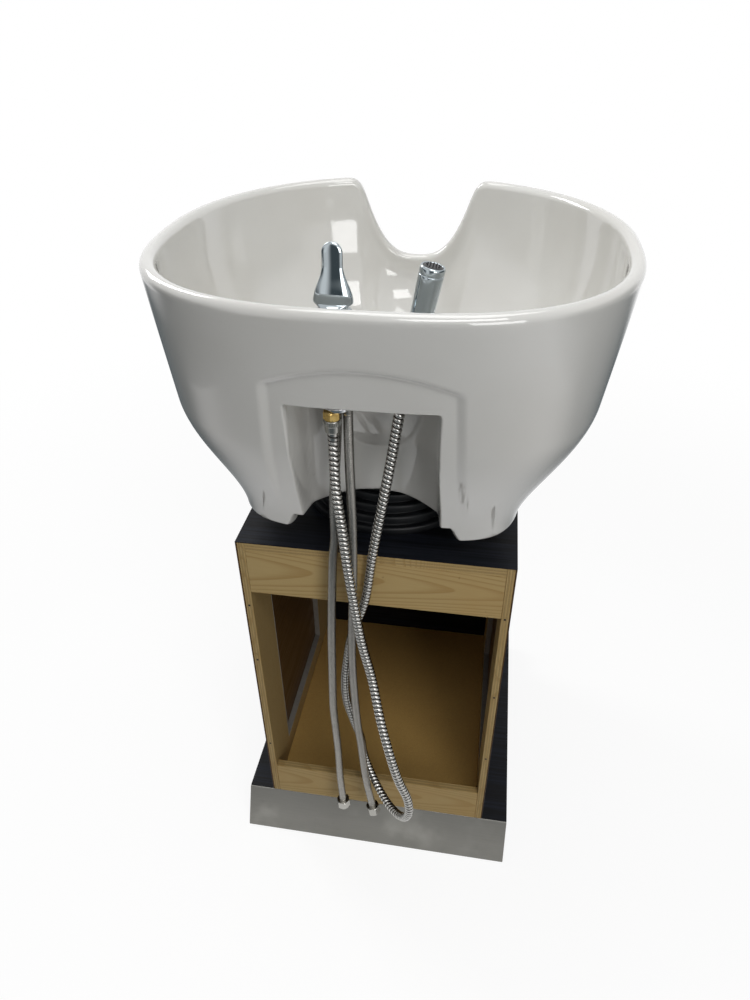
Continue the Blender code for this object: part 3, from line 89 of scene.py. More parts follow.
photoView = {
    "eye": (0.1170, -0.6728, 1.1973),         # metres, from the cabinet's near edge at the floor
    "yaw": math.radians(-9.522),
    "pitch": math.radians(-35.657),
    "roll": math.radians(-0.560),
    "lens": 25.56,                            # millimetres, on the long side of a 36 mm sensor
    "sensor": 36.0,
    "clip": 0.01,
}


def makeCamera(view):
    yaw, pitch, roll = view["yaw"], view["pitch"], view["roll"]
    ahead = Vector((math.sin(yaw) * math.cos(pitch), math.cos(yaw) * math.cos(pitch), math.sin(pitch)))
    right = ahead.cross((0, 0, 1)).normalized()
    up = right.cross(ahead)
    across = right * math.cos(roll) + up * math.sin(roll)
    upright = up * math.cos(roll) - right * math.sin(roll)
    data = bpy.data.cameras.new("photoCamera")
    data.lens = view["lens"]
    data.sensor_width = view["sensor"]
    data.clip_start = view["clip"]
    camera = linked("photoCamera", data)
    turn = Matrix((across, upright, -ahead)).transposed().to_4x4()
    camera.matrix_world = Matrix.Translation(Vector(view["eye"]) + Vector((0, nearEdge, 0))) @ turn
    scene.camera = camera


makeCamera(photoView)
print("camera placed")


# Sums and nodes, for shaders and for geometry alike

class Value:
    # One output socket that can take part in a sum
    def __init__(self, net, socket):
        self.net = net
        self.socket = socket

    def sum(self, operation, *others):
        return self.net.total(operation, self, *others)

    def __add__(self, other):
        return self.sum("ADD", other)

    def __sub__(self, other):
        return self.sum("SUBTRACT", other)

    def __rsub__(self, other):
        return self.net.total("SUBTRACT", other, self)

    def __mul__(self, other):
        return self.sum("MULTIPLY", other)

    def __truediv__(self, other):
        return self.sum("DIVIDE", other)

    def __rtruediv__(self, other):
        return self.net.total("DIVIDE", other, self)

    __radd__ = __add__
    __rmul__ = __mul__

    def fract(self):
        return self.sum("FRACT")

    def sine(self):
        return self.sum("SINE")

    def size(self):
        return self.sum("ABSOLUTE")

    def floor(self):
        return self.sum("FLOOR")

    def smooth(self, low, high):
        # 0 below low, 1 above high, eased between
        settings = {"interpolation_type": "SMOOTHSTEP"}
        return self.net.add("ShaderNodeMapRange", settings, {0: self, 1: low, 2: high})

    def other(self, name):
        return Value(self.net, self.socket.node.outputs[name])


class Net:
    def __init__(self, tree):
        self.tree = tree

    def feed(self, node, sockets):
        for key, value in sockets.items():
            if isinstance(value, Value):
                self.tree.links.new(value.socket, node.inputs[key])
            else:
                node.inputs[key].default_value = value

    def add(self, kind, settings=None, sockets=None, out=0):
        node = self.tree.nodes.new(kind)
        for name, setting in (settings or {}).items():
            setattr(node, name, setting)
        self.feed(node, sockets or {})
        return Value(self, node.outputs[out])

    def total(self, operation, *terms):
        return self.add("ShaderNodeMath", {"operation": operation}, dict(enumerate(terms)))

    def mix(self, factor, a, b):
        return self.add("ShaderNodeMix", {"data_type": "RGBA"}, {0: factor, 6: a, 7: b}, 2)

    def place(self):
        return self.add("ShaderNodeTexCoord", out="Object")

    def kept(self, label):
        # A field that the piece's own mesh carries
        return self.add("ShaderNodeAttribute", {"attribute_name": label}, out="Fac")

    def drawnOut(self, vector, axis, share):
        # Slow along one axis, for grain and brush marks
        scale = tuple(share if name == axis else 1.0 for name in "xyz")
        return self.add("ShaderNodeMapping", sockets={"Vector": vector, "Scale": scale})

    def noise(self, vector, scale, detail=2.0, roughness=0.5):
        sockets = {"Vector": vector, "Scale": scale, "Detail": detail, "Roughness": roughness}
        return self.add("ShaderNodeTexNoise", sockets=sockets)

    def split(self, vector):
        made = self.add("ShaderNodeSeparateXYZ", sockets={0: vector})
        return {"x": made, "y": made.other("Y"), "z": made.other("Z")}

    def bump(self, height, strength, distance):
        sockets = {"Strength": strength, "Distance": distance, "Height": height}
        return self.add("ShaderNodeBump", sockets=sockets)


def shade(red, green, blue):
    return (red, green, blue, 1.0)


def newMaterial(name, constants):
    made = bpy.data.materials.new(name)
    made.use_nodes = True
    shader = made.node_tree.nodes["Principled BSDF"]
    net = Net(made.node_tree)
    net.feed(shader, constants)
    return made, net, shader


# Finishes: each rule gives what feeds the shader

def newFinish(name, constants, rule, *sizes, **tones):
    made, net, shader = newMaterial(name, constants)
    net.feed(shader, rule(net, net.place(), *sizes, **tones))
    return made


def glazedCeramic(net, at):
    cloud = net.noise(at, 7.0, 3.0)
    speck = net.noise(at, 900.0, 1.0).smooth(0.74, 0.80)
    glaze = net.mix(cloud.smooth(0.3, 0.7), shade(0.715, 0.706, 0.672), shade(0.750, 0.745, 0.715))
    pooled = net.noise(at, 2.5, 1.0).smooth(0.45, 0.75) * 0.35
    glaze = net.mix(pooled, glaze, shade(0.73, 0.705, 0.640))        # the glaze pools a little warmer
    return {
        "Base Color": net.mix(speck * 0.30, glaze, shade(0.50, 0.46, 0.40)),
        "Roughness": 0.05 + net.noise(at, 30.0, 3.0) * 0.06,
        "Coat Weight": 0.75 + cloud * 0.2,
        "Normal": net.bump(net.noise(at, 22.0, 1.0) + net.noise(at, 260.0, 1.0) * 0.02, 0.10, 0.002),
    }


def plywood(net, at, layerAxis, grainAxis, low, high, pale, dark, farShade=None):
    # Layers show on the edges, because they follow the depth into the board; the far end's darker tone is
    # painted shade at the back of the cabinet
    part = net.split(at)
    crossAxis = ({"x", "y", "z"} - {layerAxis, grainAxis}).pop()
    depthAt, crossAt = "xyz".index(layerAxis), "xyz".index(crossAxis)
    depth = (part[layerAxis] - low[depthAt]) / (high[depthAt] - low[depthAt])
    wander = net.noise(net.drawnOut(at, grainAxis, 0.16), 11.0, 2.0) - 0.5
    cross = part[crossAxis] - (low[crossAt] * 0.45 + high[crossAt] * 0.55) + wander * 0.035
    rings = (part[grainAxis] * 11.0 + cross * cross * 2600.0 + wander * 2.2).fract()
    late = rings.smooth(0.45, 0.93) * (1 - rings.smooth(0.95, 1.0))
    fibre = net.noise(net.drawnOut(at, grainAxis, 0.03), 520.0, 2.0, 0.7)
    face = net.mix(late * 0.55 + fibre * 0.35 - 0.05, shade(*pale), shade(*dark))
    blush = net.noise(at, 7.0, 3.0).smooth(0.45, 0.75)
    face = net.mix(blush * 0.45, face, shade(pale[0] * 0.90, pale[1] * 0.76, pale[2] * 0.58))
    if farShade:
        # Darker towards the far end: painted shade at the back of the cabinet
        away = (part["y"] - low.y) / (high.y - low.y) + net.noise(at, 6.0, 2.0) * 0.4 - 0.2
        face = net.mix(away.smooth(0.08, 0.60) * 0.75, face, shade(*farShade))
    mark = net.noise(at, 60.0, 2.0).smooth(0.74, 0.80)
    face = net.mix(mark * 0.5, face, shade(dark[0] * 0.45, dark[1] * 0.40, dark[2] * 0.35))
    ply = depth * 5.0
    layer = ((ply.floor() * 0.5).fract() * 2.0).smooth(0.2, 0.8)         # every other layer runs across
    core = (shade(*[c * 0.62 for c in dark]), shade(*[c * 0.85 for c in pale]))
    inner = net.mix(net.noise(at, 700.0, 2.0), *core)
    wood = net.mix(layer * 0.75, face, inner)
    seam = 1 - (0.5 - (ply.fract() - 0.5).size()).smooth(0.02, 0.09)
    inside = depth.smooth(0.06, 0.08) * (1 - depth.smooth(0.92, 0.94))
    wood = net.mix(seam * inside * 0.45, wood, shade(*[c * 0.40 for c in dark]))
    return {
        "Base Color": wood,
        "Roughness": 0.50 + fibre * 0.22,
        "Normal": net.bump(fibre + late * 0.5, 0.22, 0.0006),
    }


def blackLaminate(net, at, grainAxis, skinFace=None):
    # skinFace is how far out a skin's black face begins; behind it the board is brown
    long = net.drawnOut(at, grainAxis, 0.02)
    grain = net.noise(long, 260.0, 3.0, 0.65)
    broad = net.noise(long, 46.0, 2.0)
    streak = (grain * 0.65 + broad * 0.35).smooth(0.42, 0.66)
    dust = net.noise(at, 14.0, 4.0).smooth(0.45, 0.85)
    face = net.mix(streak, shade(0.0028, 0.0030, 0.0042), shade(0.013, 0.0155, 0.023))
    face = net.mix(dust * 0.04, face, shade(0.08, 0.075, 0.07))
    if skinFace:
        behind = 1 - net.split(at)["x"].size().smooth(skinFace - 0.0002, skinFace)
        board = net.mix(net.noise(at, 300.0, 3.0), shade(0.085, 0.042, 0.014), shade(0.15, 0.080, 0.030))
        face = net.mix(behind, face, board)
    return {
        "Base Color": face,
        "Roughness": 0.34 + streak * 0.16 + dust * 0.10,
        "Normal": net.bump(grain, 0.35, 0.0005),
    }


def mottled(net, at, tone, colours, rough, grain):
    # tone is a noise's scale, detail and span; rough is a base, and how much tone and grain add
    scale, detail, span = tone
    cloud = net.noise(at, scale, detail)
    if span:
        cloud = cloud.smooth(*span)
    scale, strength, depth = grain
    fine = net.noise(at, scale, 2.0)
    base, byCloud, byFine = rough
    return {
        "Base Color": net.mix(cloud, shade(*colours[0]), shade(*colours[1])),
        "Roughness": base + cloud * byCloud + fine * byFine,
        "Normal": net.bump(fine, strength, depth),
    }


def brushedSteel(net, at, along, pale, dark):
    hair = net.noise(net.drawnOut(at, along, 0.012), 1500.0, 2.0, 0.7)
    smear = net.noise(at, 9.0, 3.0)
    touch = net.noise(at, 55.0, 4.0).smooth(0.58, 0.80)
    wipedAndSheen = net.noise(at, 13.0, 3.0).smooth(0.50, 0.80)
    steel = net.mix(hair * 0.6 + smear * 0.4, shade(*dark), shade(*pale))
    return {
        # Patches painted lighter as a painted highlight, and made smoother where wiped
        "Base Color": net.mix(wipedAndSheen * 0.4, steel, shade(*[min(1.0, c * 1.5) for c in pale])),
        "Roughness": 0.34 + hair * 0.14 + touch * 0.10 - wipedAndSheen * 0.08,
        "Normal": net.bump(hair, 0.12, 0.0004),
    }


def polished(net, at, tint, haze):
    film = net.noise(at, 70.0, 4.0).smooth(0.45, 0.80)
    drop = net.noise(at, 420.0, 2.0).smooth(0.66, 0.78)              # dried water spots
    pale = tuple(min(1.0, c * 1.06) for c in tint)
    return {
        "Base Color": net.mix(film * 0.5 + drop * 0.2, shade(*pale), shade(*tint)),
        "Roughness": haze + film * 0.05 + drop * 0.10,
        "Normal": net.bump(net.noise(at, 38.0, 1.0), 0.02, 0.001),
    }


def ribbedChrome(net, at, pitch):
    # Follows the hose's own run and turn attributes; the grooves are dull, and painted dark as shade with
    # some dirt
    run, turn = net.kept("run"), net.kept("turn")
    shadedGroove = (((run / pitch + turn).fract() - 0.5).size() * 2).smooth(0.40, 0.85)
    film = net.noise(at, 160.0, 3.0)
    rib = net.mix(film, shade(0.66, 0.65, 0.62), shade(0.50, 0.485, 0.455))
    return {
        # Painted shade, with some dirt, darkens the grooves
        "Base Color": net.mix(shadedGroove, rib, shade(0.055, 0.050, 0.045)),
        "Roughness": 0.12 + film * 0.10 + shadedGroove * 0.30,
        "Normal": net.bump(film, 0.04, 0.0003),
    }


def zincSteel(net, at):
    spangle = net.add("ShaderNodeTexVoronoi", sockets={"Vector": at, "Scale": 240.0}, out="Color")
    tone = net.split(spangle)["x"]
    return {
        "Base Color": net.mix(tone, shade(0.36, 0.365, 0.38), shade(0.52, 0.525, 0.53)),
        "Roughness": 0.30 + tone * 0.18,
        "Normal": net.bump(net.noise(at, 500.0, 2.0), 0.12, 0.0003),
    }


def brassMetal(net, at):
    tarnish = net.noise(at, 130.0, 4.0)
    return {
        "Base Color": net.mix(tarnish.smooth(0.35, 0.75), shade(0.72, 0.51, 0.18), shade(0.42, 0.27, 0.09)),
        "Roughness": 0.16 + tarnish * 0.24,
        "Normal": net.bump(net.noise(at, 900.0, 2.0), 0.10, 0.0002),
    }


def braidedSteel(net, at):
    # The wires follow the hose's own run and turn attributes
    run, turn = net.kept("run"), net.kept("turn")
    right = turn * 14.0 + run * 190.0
    left = turn * 14.0 - run * 190.0
    wire = ((right * 4.0).fract() - 0.5).size() + ((left * 4.0).fract() - 0.5).size()
    soot = net.noise(at, 300.0, 3.0)
    return {
        "Base Color": net.mix(soot * 0.6 + wire * 0.3, shade(0.44, 0.425, 0.395), shade(0.15, 0.14, 0.125)),
        "Roughness": 0.16 + soot * 0.14,
        "Normal": net.bump(wire, 0.35, 0.0003),
    }


metal = {"Metallic": 1.0}
glaze = {"IOR": 1.52, "Coat Roughness": 0.03, "Coat IOR": 1.5}
laminate = {"IOR": 1.48, "Specular IOR Level": 0.15}
rubber = {"IOR": 1.5, "Specular IOR Level": 0.25}
blackFace = 0.0006        # metres of black on a side skin
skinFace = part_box("side_skin_right")[1].x - blackFace
finishes = {
    "ceramic": newFinish("glazedCeramic", glaze, glazedCeramic),
    "laminateX": newFinish("blackLaminateAcross", laminate, blackLaminate, "x"),
    "laminateY": newFinish("blackLaminateAlong", laminate, blackLaminate, "y"),
    "laminateSkin": newFinish("blackLaminateSkin", laminate, blackLaminate, "y", skinFace),
    "edging": newFinish("greyEdging", {"IOR": 1.46}, mottled, (160.0, 3.0, None),
                        ((0.20, 0.185, 0.165), (0.34, 0.325, 0.30)), (0.38, 0.25, 0.0),
                        (800.0, 0.15, 0.0003)),
    "kick": newFinish("brushedStainless", metal, brushedSteel, "x", (0.285, 0.28, 0.257),
                      (0.175, 0.17, 0.156)),
    "pin": newFinish("groundSteel", metal, brushedSteel, "z", (0.58, 0.58, 0.57), (0.44, 0.44, 0.43)),
    "zinc": newFinish("zincSteel", metal, zincSteel),
    "iron": newFinish("darkIron", metal, polished, (0.055, 0.048, 0.042), 0.45),
    "chrome": newFinish("polishedChrome", metal, polished, (0.72, 0.73, 0.75), 0.035),
    "darkChrome": newFinish("darkChrome", metal, polished, (0.36, 0.40, 0.42), 0.04),
    "satin": newFinish("satinChrome", metal, polished, (0.42, 0.41, 0.38), 0.22),
    "brass": newFinish("brassMetal", metal, brassMetal),
    "rubber": newFinish("blackRubber", rubber, mottled, (24.0, 4.0, (0.40, 0.80)),
                        ((0.0040, 0.0046, 0.0055), (0.010, 0.0115, 0.013)), (0.34, 0.18, 0.08),
                        (1400.0, 0.20, 0.0002)),
    "plastic": newFinish("blackPlastic", {"IOR": 1.48}, mottled, (40.0, 3.0, None),
                         ((0.014, 0.014, 0.015), (0.026, 0.026, 0.028)), (0.36, 0.0, 0.16),
                         (1800.0, 0.18, 0.0002)),
    "braid": newFinish("braidedSteel", metal, braidedSteel),
}
print("finishes made:", len(finishes))


# Making and placing pieces

weld = 1e-6        # points closer than this become one
turnedCrease = 40        # degrees
easing = {"segments": 2, "flat": math.radians(1), "corner": math.radians(30), "crease": math.radians(20)}
nutShape = {"steps": 72, "chamfer": 0.0012, "cap": 1.02, "slope": 1.6, "crease": 28}


def addObject(name, mesh, material):
    mesh.materials.clear()
    mesh.materials.append(material)
    return linked(name, mesh)


def settle(piece, body, slot, *replaced):
    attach(piece, body)
    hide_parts(*replaced)
    return piece


def gridMesh(name, rings, wrapRows=True):
    # Rings of equal length, joined into one skin
    rows, columns = len(rings), len(rings[0])
    points = np.concatenate(rings)
    index = np.arange(rows * columns).reshape(rows, columns)
    if wrapRows:
        index = np.concatenate([index, index[:1]])
    low, high = index[:-1], index[1:]
    quads = np.stack([low, np.roll(low, -1, 1), np.roll(high, -1, 1), high], -1).reshape(-1, 4)
    mesh = bpy.data.meshes.new(name)
    mesh.from_pydata(points.tolist(), [], quads.tolist())
    return mesh


def finished(name, mesh, matrix, material, sharp=None):
    # Put in place, faced outward and smooth; sharp is the least angle of a crease, in degrees
    mesh.transform(matrix)
    work = bmesh.new()
    work.from_mesh(mesh)
    bmesh.ops.remove_doubles(work, verts=work.verts, dist=weld)
    bmesh.ops.recalc_face_normals(work, faces=work.faces)
    work.to_mesh(mesh)
    work.free()
    mesh.shade_smooth()
    if sharp:
        mesh.set_sharp_from_angle(angle=math.radians(sharp))
    return addObject(name, mesh, material)


def roundCorners(corners, closed, steps=4):
    # Corners are (radius, height, fillet); each becomes a short arc
    out = []
    count = len(corners)
    most = 0.48        # of a side, so that two arcs never meet
    for i, (r, z, fillet) in enumerate(corners):
        here = np.array([r, z])
        if fillet == 0 or (not closed and i in (0, count - 1)):
            out.append(here)
            continue
        back = np.array(corners[i - 1][:2]) - here
        ahead = np.array(corners[(i + 1) % count][:2]) - here
        reach = min(fillet, np.linalg.norm(back) * most, np.linalg.norm(ahead) * most)
        a = here + back / np.linalg.norm(back) * reach
        b = here + ahead / np.linalg.norm(ahead) * reach
        for k in range(steps + 1):
            t = k / steps
            out.append((1 - t) ** 2 * a + 2 * t * (1 - t) * here + t * t * b)
    return out


def ringOf(halfX, halfY, z, steps, shift=0.0):
    turn = np.linspace(0, 2 * math.pi, steps, endpoint=False)
    return np.stack([halfX * np.cos(turn), shift + halfY * np.sin(turn), np.full(steps, z)], -1)


def lathe(name, corners, matrix, material, closed=True, steps=64):
    rings = [ringOf(r, r, z, steps) for r, z in roundCorners(corners, closed)]
    return finished(name, gridMesh(name, rings, wrapRows=closed), matrix, material, sharp=turnedCrease)


def worked(piece):
    # The piece's mesh with its modifiers worked in
    graph = bpy.context.evaluated_depsgraph_get()
    return bpy.data.meshes.new_from_object(piece.evaluated_get(graph))


def cutWith(piece, tool):
    step = piece.modifiers.new("cut", "BOOLEAN")
    step.operation = "DIFFERENCE"
    step.solver = "EXACT"
    step.object = tool
    mesh = worked(piece)
    piece.modifiers.clear()
    piece.data = mesh
    bpy.data.objects.remove(tool, do_unlink=True)


def softEdged(node, material, radius):
    # A copy of the board with its corners eased
    mesh = nodes[node].data.copy()
    work = bmesh.new()
    work.from_mesh(mesh)
    bmesh.ops.remove_doubles(work, verts=work.verts, dist=weld)
    bmesh.ops.dissolve_limit(work, angle_limit=easing["flat"], verts=work.verts, edges=work.edges)
    sharp = [e for e in work.edges if len(e.link_faces) == 2 and e.calc_face_angle() > easing["corner"]]
    bmesh.ops.bevel(work, geom=sharp, offset=radius, segments=easing["segments"], affect="EDGES",
                    clamp_overlap=True)
    work.to_mesh(mesh)
    work.free()
    mesh.shade_smooth()
    mesh.set_sharp_from_angle(angle=easing["crease"])
    return addObject(node + "_finished", mesh, material)


def middle(node):
    low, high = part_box(node)
    return (low + high) / 2


def hexNut(name, flats, low, high, bore, matrix, material):
    steps, chamfer = nutShape["steps"], nutShape["chamfer"]
    turn = np.linspace(0, 2 * math.pi, steps, endpoint=False)
    fromFlat = (turn + math.pi / 6) % (math.pi / 3) - math.pi / 6
    hexRadius = flats / 2 / np.cos(fromFlat)
    cap = flats / 2 * nutShape["cap"]
    slope = cap + nutShape["slope"] * chamfer
    levels = [(bore, low + chamfer / 2), (bore + chamfer / 2, low), (cap, low), (slope, low + chamfer),
              (flats, low + 2 * chamfer), (flats, high - 2 * chamfer), (slope, high - chamfer), (cap, high),
              (bore + chamfer / 2, high), (bore, high - chamfer / 2)]
    radii = [(np.minimum(hexRadius, limit), z) for limit, z in levels]
    mesh = gridMesh(name, [ringOf(r, r, z, steps) for r, z in radii])
    return finished(name, mesh, matrix, material, sharp=nutShape["crease"])


def upright(node):
    at = middle(node)
    return Matrix.Translation((at.x, at.y, 0))


# Hoses: the routes are the solids' own, from the cabinet's near edge

showerHose = {
    "radius": 0.0063, "straight": 0.0126, "sides": 24, "step": 0.00075, "depth": 0.0013, "plain": 0.014,
    "ribPitch": 0.0060,
    "turnsOver": ((-0.0105, -0.0132), (0.0101, 0.0127)),        # it goes over to the spray along this line
    "cone": 0.0078, "coneTop": 0.0040, "coneLength": 0.024, "coneTaper": 0.88, "bore": 0.0035,
    "grip": 0.0065, "knurls": 36, "knurl": 0.0006, "knurlSides": 8, "brassFlats": 0.0178,
    "route": (
        (-0.0400, -0.0125, 0.7660), (-0.0384, -0.0185, 0.7360), (-0.0349, -0.0245, 0.7100),
        (-0.0307, -0.0290, 0.6810), (-0.0250, -0.0360, 0.6350), (-0.0170, -0.0400, 0.5730),
        (-0.0080, -0.0440, 0.5100), (0.0062, -0.0504, 0.4486), (0.0209, -0.0737, 0.3955),
        (0.0369, -0.0928, 0.3467), (0.0497, -0.0982, 0.2999), (0.0622, -0.0979, 0.2612),
        (0.0663, -0.0980, 0.2279), (0.0599, -0.0911, 0.1981), (0.0454, -0.0748, 0.1771),
        (0.0263, -0.0526, 0.1694), (0.0075, -0.0307, 0.1765), (-0.0078, -0.0148, 0.1969),
        (-0.0167, -0.0090, 0.2266), (-0.0193, -0.0114, 0.2635), (-0.0302, -0.0098, 0.3029),
        (-0.0394, -0.0091, 0.3454), (-0.0408, -0.0090, 0.3903), (-0.0360, -0.0090, 0.4360),
        (-0.0278, -0.0090, 0.4860), (-0.0088, -0.0090, 0.5530), (0.0017, -0.0090, 0.6290),
        (0.0126, -0.0080, 0.6970), (0.0182, -0.0060, 0.7330), (0.0240, -0.0030, 0.7700),
    ),
}
supplyHose = {
    "radius": 0.0058, "straight": 0.0116, "sides": 42, "step": 0.0011, "depth": 0.00045, "plain": 0.010,
    "strands": 14, "weavePitch": 0.0053,
    "nutFlats": 0.019, "nutHeight": 0.015, "nutBore": 0.0051,
    "at": {"left": (-0.003, 0.0105), "right": (0.0105, 0.003)},
    "left": (
        (-0.0410, 0.0040, 0.770), (-0.0433, -0.0100, 0.710), (-0.0425, -0.0185, 0.662),
        (-0.0457, -0.0225, 0.625), (-0.0495, -0.0235, 0.560), (-0.0531, -0.0235, 0.486),
        (-0.0555, -0.0235, 0.404), (-0.0568, -0.0235, 0.347), (-0.0549, -0.0240, 0.292),
        (-0.0530, -0.0250, 0.239), (-0.0522, -0.0265, 0.177), (-0.0495, -0.0285, 0.131),
    ),
    "right": (
        (-0.0243, -0.0040, 0.777), (-0.0222, -0.0120, 0.733), (-0.0204, -0.0185, 0.692),
        (-0.0199, -0.0228, 0.647), (-0.0210, -0.0235, 0.599), (-0.0229, -0.0235, 0.546),
        (-0.0253, -0.0235, 0.490), (-0.0258, -0.0235, 0.431), (-0.0238, -0.0245, 0.368),
        (-0.0203, -0.0270, 0.313), (-0.0160, -0.0300, 0.275), (-0.0112, -0.0345, 0.222),
        (-0.0066, -0.0375, 0.184), (0.0000, -0.0405, 0.146),
    ),
}


routeStep = 0.002        # metres between the points of a finished route
hoseShoulder = 0.002     # over which the ribs or the weave come in


def fromEdge(points):
    return tuple(Vector(p) + Vector((0, nearEdge, 0)) for p in points)


def smoothRoute(points, perSpan=12):
    # A curve through the route's own points
    points = [Vector(p) for p in points]
    points = [2 * points[0] - points[1]] + points + [2 * points[-1] - points[-2]]
    path = []
    for a, b, c, d in zip(points, points[1:], points[2:], points[3:]):
        for k in range(perSpan):
            t = k / perSpan
            path.append(0.5 * (2 * b + (c - a) * t + (2 * a - 5 * b + 4 * c - d) * t * t
                               + (3 * b - a - 3 * c + d) * t ** 3))
    path.append(points[-2])
    return path


def straightRun(start, along, length):
    return (start, start + along * length / 2, start + along * length)


def evenly(path):
    path = np.array([list(p) for p in path])
    run = np.concatenate([[0], np.cumsum(np.linalg.norm(np.diff(path, axis=0), axis=1))])
    at = np.linspace(0, run[-1], max(2, round(run[-1] / routeStep) + 1))
    return [Vector([np.interp(s, run, path[:, k]) for k in range(3)]) for s in at], float(run[-1])


def lineObject(name, path):
    curve = bpy.data.curves.new(name, "CURVE")
    curve.dimensions = "3D"
    spline = curve.splines.new("POLY")
    spline.points.add(len(path) - 1)
    for point, at in zip(spline.points, path):
        point.co = (*at, 1)
    return linked(name, curve)


def newTree(name, inputs):
    # A geometry tree with named inputs, and the sockets that read them
    tree = bpy.data.node_groups.new(name, "GeometryNodeTree")
    tree.interface.new_socket("Geometry", in_out="INPUT", socket_type="NodeSocketGeometry")
    tree.interface.new_socket("Geometry", in_out="OUTPUT", socket_type="NodeSocketGeometry")
    kinds = {float: "NodeSocketFloat", int: "NodeSocketInt", bpy.types.Material: "NodeSocketMaterial"}
    ids = {}
    for label, value in inputs.items():
        kind = kinds[bpy.types.Material if isinstance(value, bpy.types.Material) else type(value)]
        ids[label] = tree.interface.new_socket(label, in_out="INPUT", socket_type=kind).identifier
    net = Net(tree)
    source = net.add("NodeGroupInput")
    read = {label: source.other(label) for label in inputs}
    read["Geometry"] = source
    return tree, net, read, ids


def capture(net, geometry, field, label):
    # Keeps a field on the geometry; gives the geometry and the kept field
    node = net.tree.nodes.new("GeometryNodeCaptureAttribute")
    node.capture_items.new("FLOAT", label)
    net.feed(node, {0: geometry, 1: field})
    return Value(net, node.outputs[0]), Value(net, node.outputs[1])


def store(net, geometry, label, field):
    settings = {"data_type": "FLOAT", "domain": "POINT"}
    sockets = {"Geometry": geometry, "Name": label, "Value": field}
    return net.add("GeometryNodeStoreNamedAttribute", settings, sockets)


def endTree(net, geometry, material):
    smooth = net.add("GeometryNodeSetShadeSmooth", sockets={0: geometry})
    real = net.add("GeometryNodeRealizeInstances", sockets={0: smooth})
    dressed = net.add("GeometryNodeSetMaterial", sockets={"Geometry": real, "Material": material})
    net.feed(net.tree.nodes.new("NodeGroupOutput"), {0: dressed})


def grown(name, seed, tree, ids, inputs):
    # Runs a tree on a seed object and keeps only the finished mesh
    step = seed.modifiers.new(name, "NODES")
    step.node_group = tree
    for label, value in inputs.items():
        step[ids[label]] = value
    mesh = worked(seed)
    bpy.data.objects.remove(seed, do_unlink=True)
    return linked(name, mesh)


# Seeds for the trees, and the shapes that they repeat

def onRings(rings, z):
    # Each ring is a count and a radius
    turns = [(radius, 2 * math.pi * i / count) for count, radius in rings for i in range(count)]
    return [(radius * math.cos(turn), radius * math.sin(turn), z) for radius, turn in turns]


def pointObject(name, points):
    mesh = bpy.data.meshes.new(name)
    mesh.from_pydata([tuple(p) for p in points], [], [])
    return linked(name, mesh)


def scattered(name, points, radius, topRadius, height, sides, material, matrix):
    # One small turned shape at every point
    inputs = {"Radius": radius, "Top Radius": topRadius, "Height": height, "Sides": sides,
              "Material": material}
    tree, net, read, ids = newTree(name, inputs)
    stud = net.add("GeometryNodeMeshCone", sockets={
        "Vertices": read["Sides"], "Radius Top": read["Top Radius"], "Radius Bottom": read["Radius"],
        "Depth": read["Height"]})
    every = net.add("GeometryNodeInstanceOnPoints", sockets={"Points": read["Geometry"], "Instance": stud})
    endTree(net, every, read["Material"])
    made = grown(name, pointObject(name + "_points", points), tree, ids, inputs)
    made.data.set_sharp_from_angle(angle=math.radians(turnedCrease))
    made.data.transform(matrix)
    return made


def hoseTube(name, h, route, shapeOf, material):
    # A tube along a route, its path and its length; shapeOf is how far the skin sinks in, by run and turn
    path, length = evenly(smoothRoute(route))
    inputs = {"Radius": h["radius"], "Sides": h["sides"], "Step": h["step"], "Depth": h["depth"],
              "Length": length, "Plain End": h["plain"], "Material": material}
    tree, net, read, ids = newTree(name, inputs)
    line = net.add("GeometryNodeResampleCurve", {"mode": "LENGTH"},
                   {"Curve": read["Geometry"], "Length": read["Step"]})
    line, run = capture(net, line, net.add("GeometryNodeSplineParameter", out="Length"), "run")
    ring = net.add("GeometryNodeCurvePrimitiveCircle", {"mode": "RADIUS"},
                   {"Resolution": read["Sides"], "Radius": read["Radius"]})
    ring, turn = capture(net, ring, net.add("GeometryNodeSplineParameter", out="Factor"), "turn")
    sockets = {"Curve": line, "Profile Curve": ring, "Fill Caps": True}
    tube = net.add("GeometryNodeCurveToMesh", sockets=sockets)
    plain = read["Plain End"]
    far = read["Length"] - plain
    shaped = run.smooth(plain, plain + hoseShoulder) * (1 - run.smooth(far - hoseShoulder, far))
    sink = shapeOf(run, turn) * shaped * read["Depth"]
    normal = net.add("GeometryNodeInputNormal")
    offset = net.add("ShaderNodeVectorMath", {"operation": "SCALE"}, {0: normal, "Scale": sink * -1})
    moved = net.add("GeometryNodeSetPosition", sockets={"Geometry": tube, "Offset": offset})
    moved = store(net, store(net, moved, "run", run), "turn", turn)
    endTree(net, moved, read["Material"])
    return grown(name, lineObject(name + "_line", path), tree, ids, inputs), path, length


def helicalRibs(run, turn):
    across = ((run / showerHose["ribPitch"] + turn).fract() - 0.5).size() * 2
    return across.smooth(0.45, 0.95) * 0.75 + across * across * 0.25


def braidWeave(run, turn):
    twist = run / supplyHose["weavePitch"]
    right = ((turn * supplyHose["strands"] + twist) * (2 * math.pi)).sine()
    left = ((turn * supplyHose["strands"] - twist) * (2 * math.pi)).sine()
    return 0.5 - right * left * 0.5


sprayJoint = next(j for j in frame["joints"] if j["name"] == "spray_lift")
sprayFoot = Vector(sprayJoint["pos_m"])
sprayAxis = Vector(sprayJoint["axis"]).normalized()
sprayTurn = sprayAxis.to_track_quat("Z", "Y").to_matrix().to_4x4()
lean = Matrix.Translation(sprayFoot) @ sprayTurn
clear = 0.0003        # metres left between two pieces that would touch
down = Vector((0, 0, -1))


